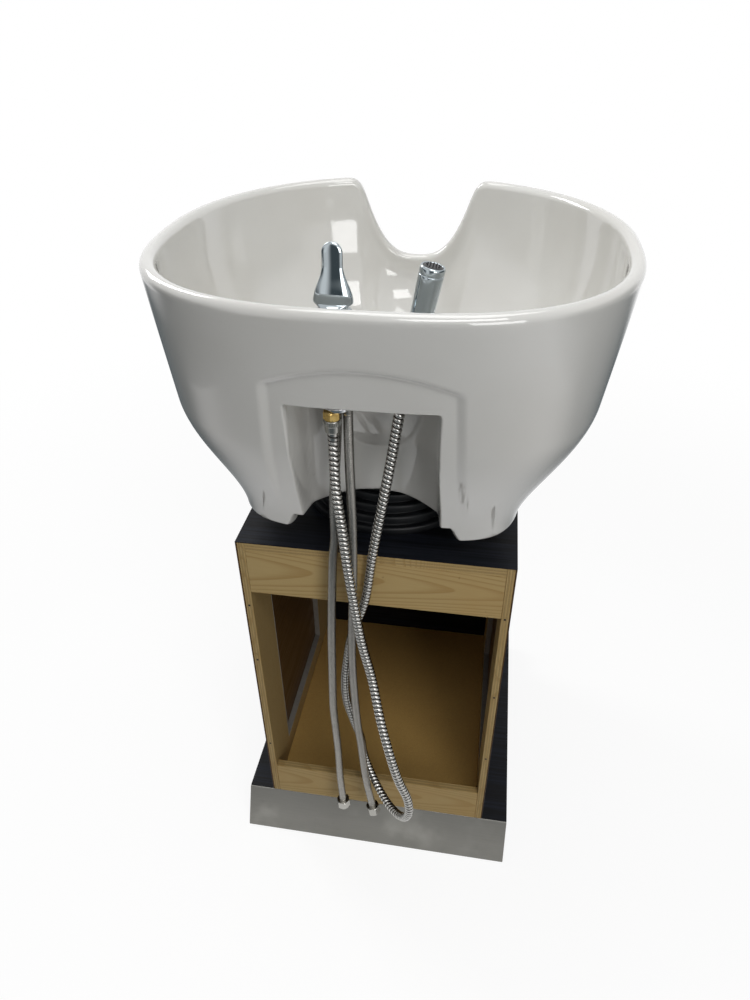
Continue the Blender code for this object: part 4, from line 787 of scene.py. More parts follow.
def makeUnionNut(h):
    # The brass piece under the tap and the knurled nut that the hose hangs from
    low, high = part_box("hose_nipple")
    brass = hexNut("brassFitting", h["brassFlats"], low.z, high.z, h["bore"], upright("hose_nipple"),
                   finishes["brass"])
    settle(brass, "basin", "brass", "hose_nipple")
    low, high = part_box("hose_union_nut")
    knurl, grip = h["knurl"], h["grip"]
    radius = (high.x - low.x) / 2 - knurl
    corners = [(h["bore"], high.z, 0), (radius * 0.94, high.z, 0.0004), (radius, high.z - 0.0008, 0.0005),
               (radius, high.z - grip, 0.0004), (radius * 0.97, high.z - grip - 0.0006, 0.0003),
               (radius * 0.90, low.z + 0.0012, 0.0008), (radius * 0.84, low.z, 0.0005),
               (h["bore"], low.z, 0)]
    nut = lathe("unionNut", corners, upright("hose_union_nut"), finishes["satin"], steps=80)
    settle(nut, "basin", "chrome", "hose_union_nut")
    points = onRings([(h["knurls"], radius)], high.z - grip + knurl)
    ridges = scattered("unionKnurl", points, knurl, knurl, grip - 3 * knurl, h["knurlSides"],
                       finishes["satin"], upright("hose_union_nut"))
    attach(ridges, "basin")
    return [nut, ridges]


def makeConeNut(h):
    top, low, wide = h["coneTop"], h["coneTop"] - h["coneLength"], h["cone"]
    narrow = wide * h["coneTaper"]
    corners = [(h["bore"], top, 0), (wide, top, 0.0004), (wide, top - 0.0065, 0.0006),
               (wide * 0.95, top - 0.0075, 0.0004), (narrow, low + 0.001, 0.0006),
               (narrow - 0.0006, low, 0.0004), (h["bore"], low, 0)]
    cone = lathe("coneNut", corners, lean, finishes["chrome"], steps=64)
    return settle(cone, "spray", "chrome", "hose_cone_nut")


def makeShowerHose(h):
    fittings = makeUnionNut(h) + [makeConeNut(h)]
    start = Vector((*middle("hose_union_nut").xy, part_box("hose_union_nut")[0].z - clear))
    coneLow = sprayFoot + sprayAxis * (h["coneTop"] - h["coneLength"] - clear)
    ends = straightRun(start, down, h["straight"])
    farEnds = straightRun(coneLow, -sprayAxis, h["straight"])[::-1]
    material = newFinish("ribbedChrome", metal, ribbedChrome, h["ribPitch"])
    route = ends + fromEdge(h["route"]) + farEnds
    hose, path, length = hoseTube("showerHose", h, route, helicalRibs, material)
    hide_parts("shower_hose")
    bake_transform(hose)
    print("shower hose", round(length, 4))


def makeSupplyNut(h, side, end, along):
    turn = (-along).to_track_quat("Z", "X").to_matrix().to_4x4()
    matrix = Matrix.Translation(end + along * clear) @ turn
    nut = hexNut("supplyNut_" + side, h["nutFlats"], -h["nutHeight"], 0.0, h["nutBore"], matrix,
                 finishes["satin"])
    return settle(nut, "basin", "chrome", "supply_nut_" + side)


def makeSupplyHose(h, side):
    offset = h["at"][side]
    route = fromEdge(h[side])
    mixer = middle("mixer_body")
    start = Vector((mixer.x + offset[0], mixer.y + offset[1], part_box("mixer_body")[0].z - clear))
    ends = straightRun(start, down, h["straight"])
    along = (route[-1] - route[-2]).normalized()
    farEnds = straightRun(route[-1], along, h["straight"])
    route = ends + route[:-1] + farEnds
    hose, path, length = hoseTube("supplyHose_" + side, h, route, braidWeave, finishes["braid"])
    settle(hose, "basin", "braided_steel", "supply_hose_" + side)
    nut = makeSupplyNut(h, side, farEnds[-1], along)
    print("supply hose", side, round(length, 4))


makeShowerHose(showerHose)
makeSupplyHose(supplyHose, "left")
makeSupplyHose(supplyHose, "right")


# Basin: the same rule as the solid, drawn finely, with eased edges

basinSize = {
    "rimHalfWidth": 0.272, "rimNear": -0.067, "rimFar": 0.450, "rimMiddle": 0.185,
    "rimHeight": 0.338, "rimSlope": 0.02, "nearPower": 2.67, "farPower": 2.1, "lip": 0.009,
    "notchHalfWidth": 0.092, "notchDepth": 0.113, "notchPower": 2.9,
    "footHalfWidth": 0.178, "footNear": -0.003, "footFar": 0.330, "footPower": 5.0,
    "footHeight": 0.038, "footRise": 0.045, "taper": 0.4, "tuckStart": 0.5,
    "skirtWall": 0.016, "bowlWall": 0.014, "deckHeight": 0.250, "deckDepth": 0.100,
    "ledgeFade": (0.15, 0.75), "levelFade": (-0.35, 0.0), "ledgeSlide": 0.10,
    "bowlFloor": 0.105, "floorEdge": 0.115, "floorRadius": 0.100, "floorMiddle": 0.175,
    "bossRadius": 0.066, "bossHeight": 0.088, "wasteHole": 0.0235, "wasteFlange": 0.037,
    "archHalfWidth": 0.080, "archHeight": 0.233, "nicheHalfWidth": 0.083, "nicheCorner": 0.015,
    "nicheDepth": 0.064, "nicheFoot": 0.060, "nicheWall": 0.012, "nicheEase": 0.0035,
    "archFoot": (0.0955, 0.109), "panelHalfWidth": 0.104, "panelFootHalfWidth": 0.120,
    "panelSideHeight": 0.263, "panelHeight": 0.286, "panelStep": 0.006, "panelEase": 0.008,
    "panelFade": (0.07, 0.16), "hollowLevel": 0.5, "hollowInner": 0.70, "hollowInnerNear": 0.985,
    "hollowNear": 0.095, "hollowFade": (0.10, 0.13), "hollowProbe": 0.7, "footBulge": 0.3,
    "notchSide": 0.2, "nicheSide": -0.3,          # sines of the angles where each side begins
    "nearColumns": ((0, 0.066, 12), (0.066, 0.100, 24), (0.100, 0.150, 17), (0.150, 0.236, 15)),
    "farColumns": (14, 20, 26, 14), "shoulderSpan": (-0.10, 0.12),
    "depthSteps": ((0.012, 0.13, 0.012), (0.13, 0.29, 0.0075), (0.29, 0.41, 0.0042), (0.41, 0.995, 0.0125)),
    "rows": {"floor": 9, "wall": 40, "ledge": 18, "above": 13, "lip": 15, "foot": 8, "skirt": 10,
             "under": 9, "across": 6},
    "rounds": {"columns": 40, "notch": 8, "ledge": 5}, "ledgeReach": (6, 5),
    "tableX": (0, 0.11, 45), "tableLow": 0.05, "tableRows": 40, "tableRim": 0.24,
}


def eased(low, high, value):
    t = np.clip((value - low) / (high - low), 0, 1)
    return t * t * (3 - 2 * t)


def between(a, b, share):
    return a + (b - a) * share


def unit(rows):
    return rows / np.linalg.norm(rows, axis=1, keepdims=True)


def softened(rows):
    # Each inner row, drawn toward the rows beside it
    return (rows[:-2] + 2 * rows[1:-1] + rows[2:]) / 4


def superellipse(angles, halfWidth, near, far, centre, nearPower, farPower):
    c, s = np.cos(angles), np.sin(angles)
    power = np.where(s < 0, nearPower, farPower)
    reach = np.where(s < 0, centre - near, far - centre)
    x = halfWidth * np.sign(c) * np.abs(c) ** (2 / power)
    y = centre + reach * np.sign(s) * np.abs(s) ** (2 / power)
    return np.stack([x, y], -1)


class BasinSkin:
    def __init__(self, b):
        self.b = b
        angles = self.columns()
        c, s = np.cos(angles), np.sin(angles)
        self.round = np.stack([c, s], -1)
        self.rim = superellipse(angles, b["rimHalfWidth"], b["rimNear"], b["rimFar"], b["rimMiddle"],
                                b["nearPower"], b["farPower"])
        self.foot = superellipse(angles, b["footHalfWidth"], b["footNear"], b["footFar"], mountY,
                                 b["footPower"], b["farPower"])
        self.floor = np.array([0, b["floorMiddle"]]) + b["floorRadius"] * self.round
        ahead = np.roll(self.rim, -1, 0) - np.roll(self.rim, 1, 0)
        self.outward = unit(np.stack([ahead[:, 1], -ahead[:, 0]], -1))
        self.nearness = eased(*b["ledgeFade"], -s)
        self.level = eased(*b["levelFade"], -s)
        side = np.abs(self.rim[:, 0]) / b["notchHalfWidth"]
        dip = b["notchDepth"] * (1 - np.minimum(1, side ** b["notchPower"])) * (s > 0)
        self.rimZ = b["rimHeight"] + b["rimSlope"] * (self.rim[:, 1] - b["rimMiddle"]) - dip
        for _ in range(b["rounds"]["notch"]):        # eases the neck notch's corners
            soft = (np.roll(self.rimZ, 1) + 2 * self.rimZ + np.roll(self.rimZ, -1)) / 4
            self.rimZ = np.where(s > b["notchSide"], soft, self.rimZ)
        back = np.clip((self.foot[:, 1] - b["footNear"]) / (b["footFar"] - b["footNear"]), 0, 1)
        lift = (b["nicheFoot"] - b["footHeight"]) * (1 - eased(*b["archFoot"], np.abs(self.foot[:, 0])))
        plainFoot = b["footHeight"] + b["footRise"] * back
        self.footZ = plainFoot + np.where(s < b["nicheSide"], lift, 0)
        self.reach = (self.rimZ - self.footZ) / (self.rimZ - plainFoot)        # 1, less beside the niche
        self.near = s < 0
        along = np.column_stack([np.roll(self.rim, -1, 0), np.roll(self.rimZ, -1)])
        along -= np.column_stack([np.roll(self.rim, 1, 0), np.roll(self.rimZ, 1)])
        self.upright = unit(np.cross(np.column_stack([self.outward, np.zeros(len(s))]), along))
        self.ledgeDepth = (b["rimHeight"] - b["deckHeight"]) / (b["rimHeight"] - b["floorEdge"])
        self.bowlTable()

    def columns(self):
        # Close together over the arch's jambs and round the neck notch
        b = self.b
        xs = np.concatenate([np.linspace(*span, endpoint=False) for span in b["nearColumns"]])
        half = [-np.arccos((xs / b["rimHalfWidth"]) ** (b["nearPower"] / 2))]
        shoulder = math.acos((b["notchHalfWidth"] / b["rimHalfWidth"]) ** (b["farPower"] / 2))
        before, after = b["shoulderSpan"]
        stops = (half[0][-1], 0, shoulder + before, shoulder + after, math.pi / 2)
        for low, high, count in zip(stops, stops[1:], b["farColumns"]):
            half.append(np.linspace(low, high, count)[1:])
        half = np.concatenate(half)
        for _ in range(b["rounds"]["columns"]):        # no sudden change of spacing
            half[1:-1] = softened(half)
        return np.concatenate([half, math.pi - half[1:-1][::-1]])

    def ring(self, plan, z):
        return np.column_stack([plan, np.broadcast_to(z, len(plan))])

    def lip(self, angle):
        across = np.column_stack([self.outward, np.zeros(len(self.rim))])
        core = self.ring(self.rim, self.rimZ)
        return core + self.b["lip"] * (math.cos(angle) * across + math.sin(angle) * self.upright)

    def hull(self, depth, inset=0.0):
        b = self.b
        depth = np.broadcast_to(depth, len(self.rim))
        down = depth * self.reach
        tuck = b["taper"] * down + (1 - b["taper"]) * eased(b["tuckStart"], 1.0, down)
        start = self.rim + b["lip"] * self.outward
        plan = between(start, self.foot, tuck[:, None])
        inward = unit(np.array([0, mountY]) - plan)
        return self.ring(plan + inset * inward, self.rimZ - depth * (self.rimZ - self.footZ))

    def bowl(self, depth, ledge, offset=0.0):
        b = self.b
        depth = np.broadcast_to(depth, len(self.rim))
        flat = np.sqrt(np.clip(1 - depth ** 2, 0, 1))
        start = self.rim - b["lip"] * self.outward
        plan = between(start, self.floor, (1 - flat)[:, None])
        plan = plan + np.array([0, 1]) * (ledge * b["deckDepth"] * flat * self.nearness)[:, None]
        away = unit(plan - np.array([0, b["floorMiddle"]]))
        plan = plan + offset * flat[:, None] * away
        return self.ring(plan, self.rimZ - depth * (self.rimZ - b["floorEdge"]) - offset * depth)

    def bowlTable(self):
        # How far back the bowl's underside is, by height and by distance from the middle
        b = self.b
        self.tableX = np.linspace(*b["tableX"])
        self.tableZ = np.linspace(b["tableLow"], b["deckHeight"] - b["bowlWall"], b["tableRows"])
        right = np.where(self.near & (self.rim[:, 0] >= 0) & (self.rim[:, 0] < b["tableRim"]))[0]
        self.table = []
        for z in self.tableZ:
            depth = np.clip((self.rimZ - z) / (self.rimZ - b["floorEdge"]), self.ledgeDepth, 1)
            made = self.bowl(depth, 1.0, b["bowlWall"])[right]
            order = np.argsort(made[:, 0])
            self.table.append(np.interp(self.tableX, made[order, 0], made[order, 1]))
        self.table = np.array(self.table)

    def underBowl(self, x, z):
        last = len(self.tableZ) - 1
        at = np.clip((z - self.tableZ[0]) / (self.tableZ[-1] - self.tableZ[0]), 0, 1) * last
        low = np.minimum(at.astype(int), last - 1)
        t = at - low
        column = np.clip(np.searchsorted(self.tableX, x) - 1, 0, len(self.tableX) - 2)
        u = np.clip((x - self.tableX[column]) / (self.tableX[1] - self.tableX[0]), 0, 1)
        first = self.table[low, column] * (1 - u) + self.table[low, column + 1] * u
        second = self.table[low + 1, column] * (1 - u) + self.table[low + 1, column + 1] * u
        return first * (1 - t) + second * t

    def panelShift(self, made):
        # How far in the arched panel is set
        b = self.b
        x, z = np.abs(made[:, 0]), made[:, 2]
        fall = np.clip((z + b["footHeight"]) / (b["panelSideHeight"] + b["footHeight"]), 0, 1)
        wide = between(b["panelFootHalfWidth"], b["panelHalfWidth"], fall)
        rise = b["panelHeight"] - b["panelSideHeight"]
        tall = b["panelSideHeight"] + rise * (1 - np.minimum(1, x / b["panelHalfWidth"]) ** 2)
        inside = eased(0, b["panelEase"], wide - x) * eased(0, b["panelEase"], tall - z) * self.near
        inside = inside * eased(*b["panelFade"], z)
        return unit(np.array([0, mountY]) - made[:, :2]) * (b["panelStep"] * inside)[:, None]

    def pressed(self, made, share=0.0):
        # The panel and the hose niche; share is how far through the wall the skin lies
        b = self.b
        x, z = np.abs(made[:, 0]), made[:, 2]
        if share == 0:
            made[:, :2] += self.panelShift(made)
        wall = share * b["nicheWall"]
        side = b["archHalfWidth"] + wall
        head = b["archHeight"] + wall
        ease = b["nicheEase"]
        inside = eased(-ease, ease, side - x) * eased(-ease, ease, head - z) * self.near
        span = b["nicheHalfWidth"] + wall
        back = b["nicheDepth"] + wall - (b["nicheDepth"] - b["nicheCorner"]) * np.minimum(1, x / span) ** 2
        back = np.minimum(back, self.underBowl(x, z) + wall)
        made[:, 1] += (np.maximum(back, made[:, 1]) - made[:, 1]) * inside
        return made

    def roundRing(self, radius, height):
        return self.ring(np.array([0, mountY]) + radius * self.round, height)

    def insideRings(self):
        # From the waste up to the lip
        b, rows = self.b, self.b["rows"]
        floorRim = self.bowl(1.0, 1.0)
        flange = self.roundRing(b["wasteFlange"], b["bowlFloor"])
        floor = [between(flange, floorRim, t) for t in np.linspace(0, 1, rows["floor"])[1:-1]]
        slide = (1 - self.nearness) * b["ledgeSlide"]
        settled = (b["deckHeight"] - self.bowl(self.ledgeDepth, 0)[:, 2]) * self.level
        wall = []
        first = np.arcsin(np.clip(self.ledgeDepth + slide, 0, 1))
        for t in np.linspace(0, 1, rows["wall"]):
            depth = np.sin(between(first, math.pi / 2, 1 - t))
            made = self.bowl(depth, 1.0)
            made[:, 2] += settled * (1 - (depth - self.ledgeDepth) / (1 - self.ledgeDepth))
            wall.append(made)
        ledge = []
        for t in np.linspace(1, 0, rows["ledge"])[1:]:
            made = self.bowl(self.ledgeDepth + slide * t, t)
            made[:, 2] += settled
            ledge.append(made)
        above = []
        for depth in np.linspace(self.ledgeDepth, 0, rows["above"])[1:-1]:
            made = self.bowl(depth, 0.0)
            made[:, 2] += settled * depth / self.ledgeDepth
            above.append(made)
        rings = np.array(wall + ledge + above)
        before, after = b["ledgeReach"]
        low, high = len(wall) - before, len(wall) + len(ledge) + after
        for _ in range(b["rounds"]["ledge"]):        # eases the ledge's corners
            rings[low:high] = softened(rings)[low - 1:high - 1]
        return [self.roundRing(b["wasteHole"], b["bowlFloor"]), flange, *floor, *rings]

    def outsideRings(self):
        # Over the lip and down to the foot
        b = self.b
        depths = np.concatenate([np.arange(*steps) for steps in b["depthSteps"]] + [[1.0]])
        lip = [self.lip(a) for a in np.linspace(math.pi, 0, b["rows"]["lip"])]
        return lip + [self.pressed(self.hull(d)) for d in depths]

    def underRings(self):
        # Round the foot, up inside the skirt, across and down to the boss
        b, rows = self.b, self.b["rows"]
        foot = []
        for turn in np.linspace(0, math.pi, rows["foot"])[1:-1]:
            share = (1 - math.cos(turn)) / 2
            made = self.pressed(self.hull(1.0, share * b["skirtWall"]), share)
            made[:, 2] -= b["footBulge"] * b["skirtWall"] * math.sin(turn)
            foot.append(made)
        middleX = np.abs(self.hull(b["hollowProbe"])[:, 0])
        nearPart = (1 - eased(*b["hollowFade"], middleX)) * self.near
        flat = (self.rimZ - b["hollowNear"]) / (self.rimZ - self.footZ)
        top = between(b["hollowLevel"], flat, nearPart)
        skirt = [self.pressed(self.hull(between(1.0, top, t), b["skirtWall"]), 1.0)
                 for t in np.linspace(0, 1, rows["skirt"])]
        first = np.arcsin(between(b["hollowInner"], b["hollowInnerNear"], nearPart))
        under = [self.bowl(np.sin(between(first, math.pi / 2, t)), 1.0, b["bowlWall"])
                 for t in np.linspace(0, 1, rows["under"])]
        across = [between(skirt[-1], under[0], t) for t in np.linspace(0, 1, rows["across"])[1:-1]]
        boss = [self.roundRing(b["bossRadius"], b["bossHeight"] + b["bowlWall"] / 4),
                self.roundRing(b["bossRadius"], b["bossHeight"]),
                self.roundRing(b["wasteHole"], b["bossHeight"])]
        return foot + skirt + across + under + boss


def makeBasin(b):
    skin = BasinSkin(b)
    mesh = gridMesh("basinSkin", skin.insideRings() + skin.outsideRings() + skin.underRings())
    place = Matrix.Translation((0, nearEdge, cabinetTop))
    settle(finished("basinSkin", mesh, place, finishes["ceramic"]), "basin", "ceramic", "basin")
    print("basin", len(mesh.polygons), "faces")


makeBasin(basinSize)


# Cabinet and plinth boards

boardEase = 0.0006
pine = {"pale": (0.54, 0.395, 0.175), "dark": (0.37, 0.225, 0.070)}
# The floor's darker far tone is painted shade inside the cabinet
warm = {"pale": (0.76, 0.50, 0.160), "dark": (0.55, 0.31, 0.085), "farShade": (0.29, 0.132, 0.034)}
plyBoards = {
    "side_panel_left": ("x", "z", pine), "side_panel_right": ("x", "z", pine),
    "top_panel": ("z", "y", pine), "top_rail": ("y", "x", pine), "bottom_rail": ("y", "x", pine),
    "floor_panel": ("z", "x", warm), "plinth_front": ("y", "x", pine),
}
blackBoards = {
    "side_skin_left": "laminateSkin", "side_skin_right": "laminateSkin", "top_laminate": "laminateX",
    "front_panel": "laminateX", "plinth_top": "laminateX", "plinth_side_left": "laminateY",
    "plinth_side_right": "laminateY", "plinth_back": "laminateX",
}


def makeBoards():
    for node, (layers, grain, tone) in plyBoards.items():
        finish = newFinish("ply_" + node, {"IOR": 1.45}, plywood, layers, grain, *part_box(node), **tone)
        settle(softEdged(node, finish, boardEase), "base", "plywood", node)
    for node, finish in blackBoards.items():
        settle(softEdged(node, finishes[finish], boardEase), "base", "black_laminate", node)
    for side in ("left", "right"):
        node = "window_edging_" + side
        settle(softEdged(node, finishes["edging"], boardEase / 2), "base", "grey_edging", node)
    settle(softEdged("kick_plate", finishes["kick"], boardEase), "base", "stainless", "kick_plate")


makeBoards()
print("boards done")


# Mount, waste and small turned pieces

bootSize = {"folds": 4, "wall": 0.004, "topRadius": 0.074}
wasteSize = {
    "flange": 0.036, "pipe": 0.021, "wall": 0.002, "seat": 0.003, "plateDown": 0.0035, "plateHalf": 0.0006,
    "holeRings": ((1, 0.0), (6, 0.0062), (12, 0.0122)), "hole": 0.0022, "drill": 0.010, "drillSides": 20,
}
turnedNuts = {        # across the flats, bore, finish and slot
    "mixer_backnut": (0.042, 0.0168, "brass", "brass"),
    "waste_locknut": (0.060, 0.0213, "plastic", "black_plastic"),
    "spray_holder_nut": (0.044, 0.0178, "plastic", "black_plastic"),
}
plainSolids = {       # these keep the solid's own shape
    "zinc": ("tilt_yoke", "tilt_cradle", "tilt_pin_left", "tilt_pin_right", "mount_bolt_1", "mount_bolt_2",
             "mount_bolt_3", "mount_bolt_4", "mixer_clamp_washer"),
    "rubber": ("cradle_pad", "mixer_gasket"),
    "pin": ("stem_pin",),
    "plastic": ("friction_disc_left", "friction_disc_right", "waste_tailpiece", "mixer_cartridge",
                "cartridge_carrier"),
    "brass": ("cartridge_stem",),
}


def makeBoot(b):
    low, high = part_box("tilt_boot")
    radius = (high.x - low.x) / 2
    folds, wall, topRadius = b["folds"], b["wall"], b["topRadius"]
    rise = (high.z - low.z - wall) / folds
    run = (radius - topRadius) / folds
    corners = [(radius - wall, low.z, 0), (radius, low.z, 0.0008)]
    for i in range(folds):
        r, z = radius - run * i, low.z + rise * i
        corners += [(r, z + rise * 0.30, 0.004), (r - 0.001, z + rise * 0.98, 0.0045),
                    (r - run * 0.72, z + rise * 0.93, 0.0025), (r - run * 0.98, z + rise * 0.86, 0.0022)]
    corners += [(topRadius, high.z, 0.0018), (topRadius - wall, high.z, 0.001),
                (topRadius - wall, high.z - 2 * wall, 0.002), (radius - 2 * wall, low.z + 2 * wall, 0.002)]
    boot = lathe("bootBellows", corners, upright("tilt_boot"), finishes["rubber"], steps=112)
    settle(boot, "base", "rubber", "tilt_boot")


def makeWaste(w):
    low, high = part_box("waste_outlet")
    flange, pipe, half = w["flange"], w["pipe"], w["plateHalf"]
    floor = high.z - w["seat"]
    bore = pipe - w["wall"]
    corners = [(flange, floor, 0.0003), (flange, floor + 0.0014, 0.0010), (flange - 0.004, high.z, 0.002),
               (bore + 0.004, high.z - 0.0006, 0.003), (bore, high.z - 0.004, 0.003), (bore, low.z, 0.0004),
               (pipe, low.z, 0.0004), (pipe, floor, 0.0003)]
    ring = lathe("wasteFlange", corners, upright("waste_outlet"), finishes["chrome"], steps=96)
    settle(ring, "basin", "chrome", "waste_outlet")
    place = Matrix.Translation((*middle("waste_outlet").xy, floor - w["plateDown"]))
    corners = [(0, -half, 0), (bore, -half, 0), (bore, half, 0), (0, half, 0)]
    plate = lathe("wasteStrainer", corners, place, finishes["chrome"], closed=False, steps=96)
    points = onRings(w["holeRings"], -w["drill"] / 2)
    drill = scattered("strainerHoles", points, w["hole"], w["hole"], w["drill"], w["drillSides"],
                      finishes["chrome"], place)
    cutWith(plate, drill)
    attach(plate, "basin")


def makeSmallParts():
    for i in range(1, 5):
        node = "glide_" + str(i)
        low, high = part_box(node)
        radius = (high.x - low.x) / 2
        corners = [(0, high.z, 0), (radius, high.z, 0.0005), (radius, low.z, 0.0022), (0, low.z, 0)]
        glide = lathe(node + "_turned", corners, upright(node), finishes["plastic"], closed=False, steps=48)
        settle(glide, "base", "black_plastic", node)
    for node, (flats, bore, finish, slot) in turnedNuts.items():
        low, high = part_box(node)
        nut = hexNut(node + "_turned", flats, low.z, high.z, bore, upright(node), finishes[finish])
        settle(nut, "basin", slot, node)
    for finish, names in plainSolids.items():
        for name in names:
            for place in nodes[name].material_slots:
                place.material = finishes[finish]


makeBoot(bootSize)
makeWaste(wasteSize)
makeSmallParts()
print("mount and waste done")


# Mixer, lever, spray and their fittings

mixerSize = {
    "radius": 0.0225, "flange": 0.026, "flangeThick": 0.005, "shank": 0.0165, "threadPitch": 0.0018,
    "threadDepth": 0.0008, "threadFrom": 0.0145, "threadStop": 0.001, "dome": 0.020, "domeWall": 0.003,
    "domeMouth": math.radians(40), "domeRows": 14,
}
leverSize = {
    "gap": 0.0008, "wall": 0.0022, "skirt": math.radians(62), "height": 0.080, "shoulder": 0.058,
    "tipHalfWidth": 0.0105, "rootHalfWidth": 0.0205, "tipHalfThick": 0.003, "rootHalfThick": 0.0085,
    "lean": math.radians(4), "sides": 56, "rows": {"cap": 22, "blade": 26, "tip": 14, "hollow": 16},
    "join": (0.999, 1.04),                        # shares of the cap's radius, either side of its top
    "meld": 6, "tipTurn": 0.985, "tipPower": 0.45, "hollowSpan": (0.02, 1.02), "crease": 50,
}
swivelJoint = next(j for j in frame["joints"] if j["name"] == "lever_swivel")
domeCentre = Vector(swivelJoint["pos_m"])


def makeMixer(m):
    low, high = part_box("mixer_body")
    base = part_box("mixer_gasket")[1].z + clear
    flangeTop = base + m["flangeThick"]
    r = m["radius"]
    corners = [(0, high.z, 0), (r - 0.002, high.z, 0.0004), (r, high.z - 0.0012, 0.0010),
               (r, high.z - 0.0085, 0.0003), (r - 0.0005, high.z - 0.0089, 0.0002),
               (r - 0.0005, high.z - 0.0096, 0.0002), (r, high.z - 0.0100, 0.0003),
               (r, flangeTop + 0.0035, 0.003), (m["flange"], flangeTop - 0.002, 0.002),
               (m["flange"], base, 0.0005), (m["shank"], base, 0.0003)]
    root = m["shank"] - m["threadDepth"]
    z = base - m["threadFrom"]
    while z - m["threadPitch"] > low.z + m["threadStop"]:
        corners += [(m["shank"], z, 0.0003), (root, z - m["threadPitch"] / 2, 0.0003)]
        z -= m["threadPitch"]
    corners += [(root, low.z, 0.0004), (0, low.z, 0)]
    body = lathe("mixerBody", corners, upright("mixer_body"), finishes["chrome"], closed=False, steps=96)
    settle(body, "basin", "chrome", "mixer_body")
    angles = np.linspace(m["domeMouth"], math.pi / 2, m["domeRows"])
    inside = m["dome"] - m["domeWall"]
    corners = [(m["dome"] * math.sin(a), clear + m["dome"] * math.cos(a), 0) for a in angles]
    corners += [(inside * math.sin(a), clear + inside * math.cos(a), 0) for a in angles[::-1]]
    dome = lathe("mixerDome", corners, Matrix.Translation(domeCentre), finishes["darkChrome"], steps=72)
    settle(dome, "basin", "chrome", "mixer_dome_nut")


def makeLever(v, dome):
    # A cap over the dome that narrows upward into the blade
    rows, sides, meld = v["rows"], v["sides"], v["meld"]
    inner = dome + v["gap"]
    outer = inner + v["wall"]
    skirt = outer * math.cos(v["skirt"])
    below, above = v["join"]
    heights = np.concatenate([np.linspace(skirt, outer * below, rows["cap"]),
                              np.linspace(outer * above, v["height"] - v["tipHalfWidth"], rows["blade"])])
    rings = []
    for z in heights:
        ball = math.sqrt(max(0.0, outer ** 2 - z ** 2))
        narrow = float(eased(outer, v["shoulder"], z))
        root = float(eased(skirt, outer, z))
        wide = between(v["rootHalfWidth"], v["tipHalfWidth"], narrow) * root
        thick = between(v["rootHalfThick"], v["tipHalfThick"], narrow) * root
        rings.append((*[(ball ** meld + half ** meld) ** (1 / meld) for half in (wide, thick)], z))
    for t in np.linspace(0, 1, rows["tip"])[1:]:        # the round tip
        fade = math.cos(t * math.pi / 2 * v["tipTurn"])
        z = v["height"] - v["tipHalfWidth"] * (1 - math.sin(t * math.pi / 2))
        rings.append((v["tipHalfWidth"] * fade, v["tipHalfThick"] * fade ** v["tipPower"], z))
    leans = [max(0.0, z - outer) * math.tan(v["lean"]) for _, _, z in rings]
    skin = [ringOf(*ring, sides, shift) for ring, shift in zip(rings, leans)]
    first, over = v["hollowSpan"]
    hollow = []
    for angle in np.linspace(first, v["skirt"] * over, rows["hollow"]):
        r, z = inner * math.sin(angle), max(inner * math.cos(angle), skirt)
        hollow.append(ringOf(r, r, z, sides))
    mesh = gridMesh("leverSkin", hollow + skin, wrapRows=False)
    work = bmesh.new()
    work.from_mesh(mesh)
    bmesh.ops.holes_fill(work, edges=[e for e in work.edges if e.is_boundary], sides=0)
    work.to_mesh(mesh)
    work.free()
    place = Matrix.Translation(domeCentre)
    lever = finished("leverSkin", mesh, place, finishes["darkChrome"], sharp=v["crease"])
    settle(lever, "mixer_lever", "chrome", "mixer_lever")


spraySize = {
    "holderFlange": 0.026, "holderRadius": 0.0215, "holderHeight": 0.022, "shank": 0.0175, "below": 0.032,
    "boreRadius": 0.0088, "socketDepth": 0.018,
    "radius": 0.0125, "wall": 0.0025, "length": 0.112, "waist": 0.92, "neck": 0.0035, "face": 0.004,
    "nozzleRings": ((1, 0.0), (6, 0.0032), (12, 0.0064)), "nozzle": 0.0008,
    "nozzleTaper": 0.6, "nozzleHeight": 0.0014, "nozzleSides": 14,
}


def makeHolder(s):
    h = s["holderHeight"]
    corners = [(0, h, 0), (s["holderRadius"], h, 0.0018), (s["holderRadius"], 0.0045, 0.0025),
               (s["holderFlange"], 0.0024, 0.0018), (s["holderFlange"], clear, 0.0003),
               (s["shank"], clear, 0.0003), (s["shank"], -s["below"], 0.0008), (0, -s["below"], 0)]
    holder = lathe("sprayHolder", corners, Matrix.Translation(sprayFoot), finishes["chrome"], closed=False,
                   steps=96)
    for radius, low in ((s["boreRadius"], -2 * s["below"]), (s["radius"] + clear, h - s["socketDepth"])):
        plug = [(0, low, 0), (radius, low, 0), (radius, 2 * h, 0), (0, 2 * h, 0)]
        cutWith(holder, lathe("holderBore", plug, lean, finishes["chrome"], closed=False, steps=72))
    holder.data.set_sharp_from_angle(angle=math.radians(turnedCrease))
    settle(holder, "basin", "chrome", "spray_holder")


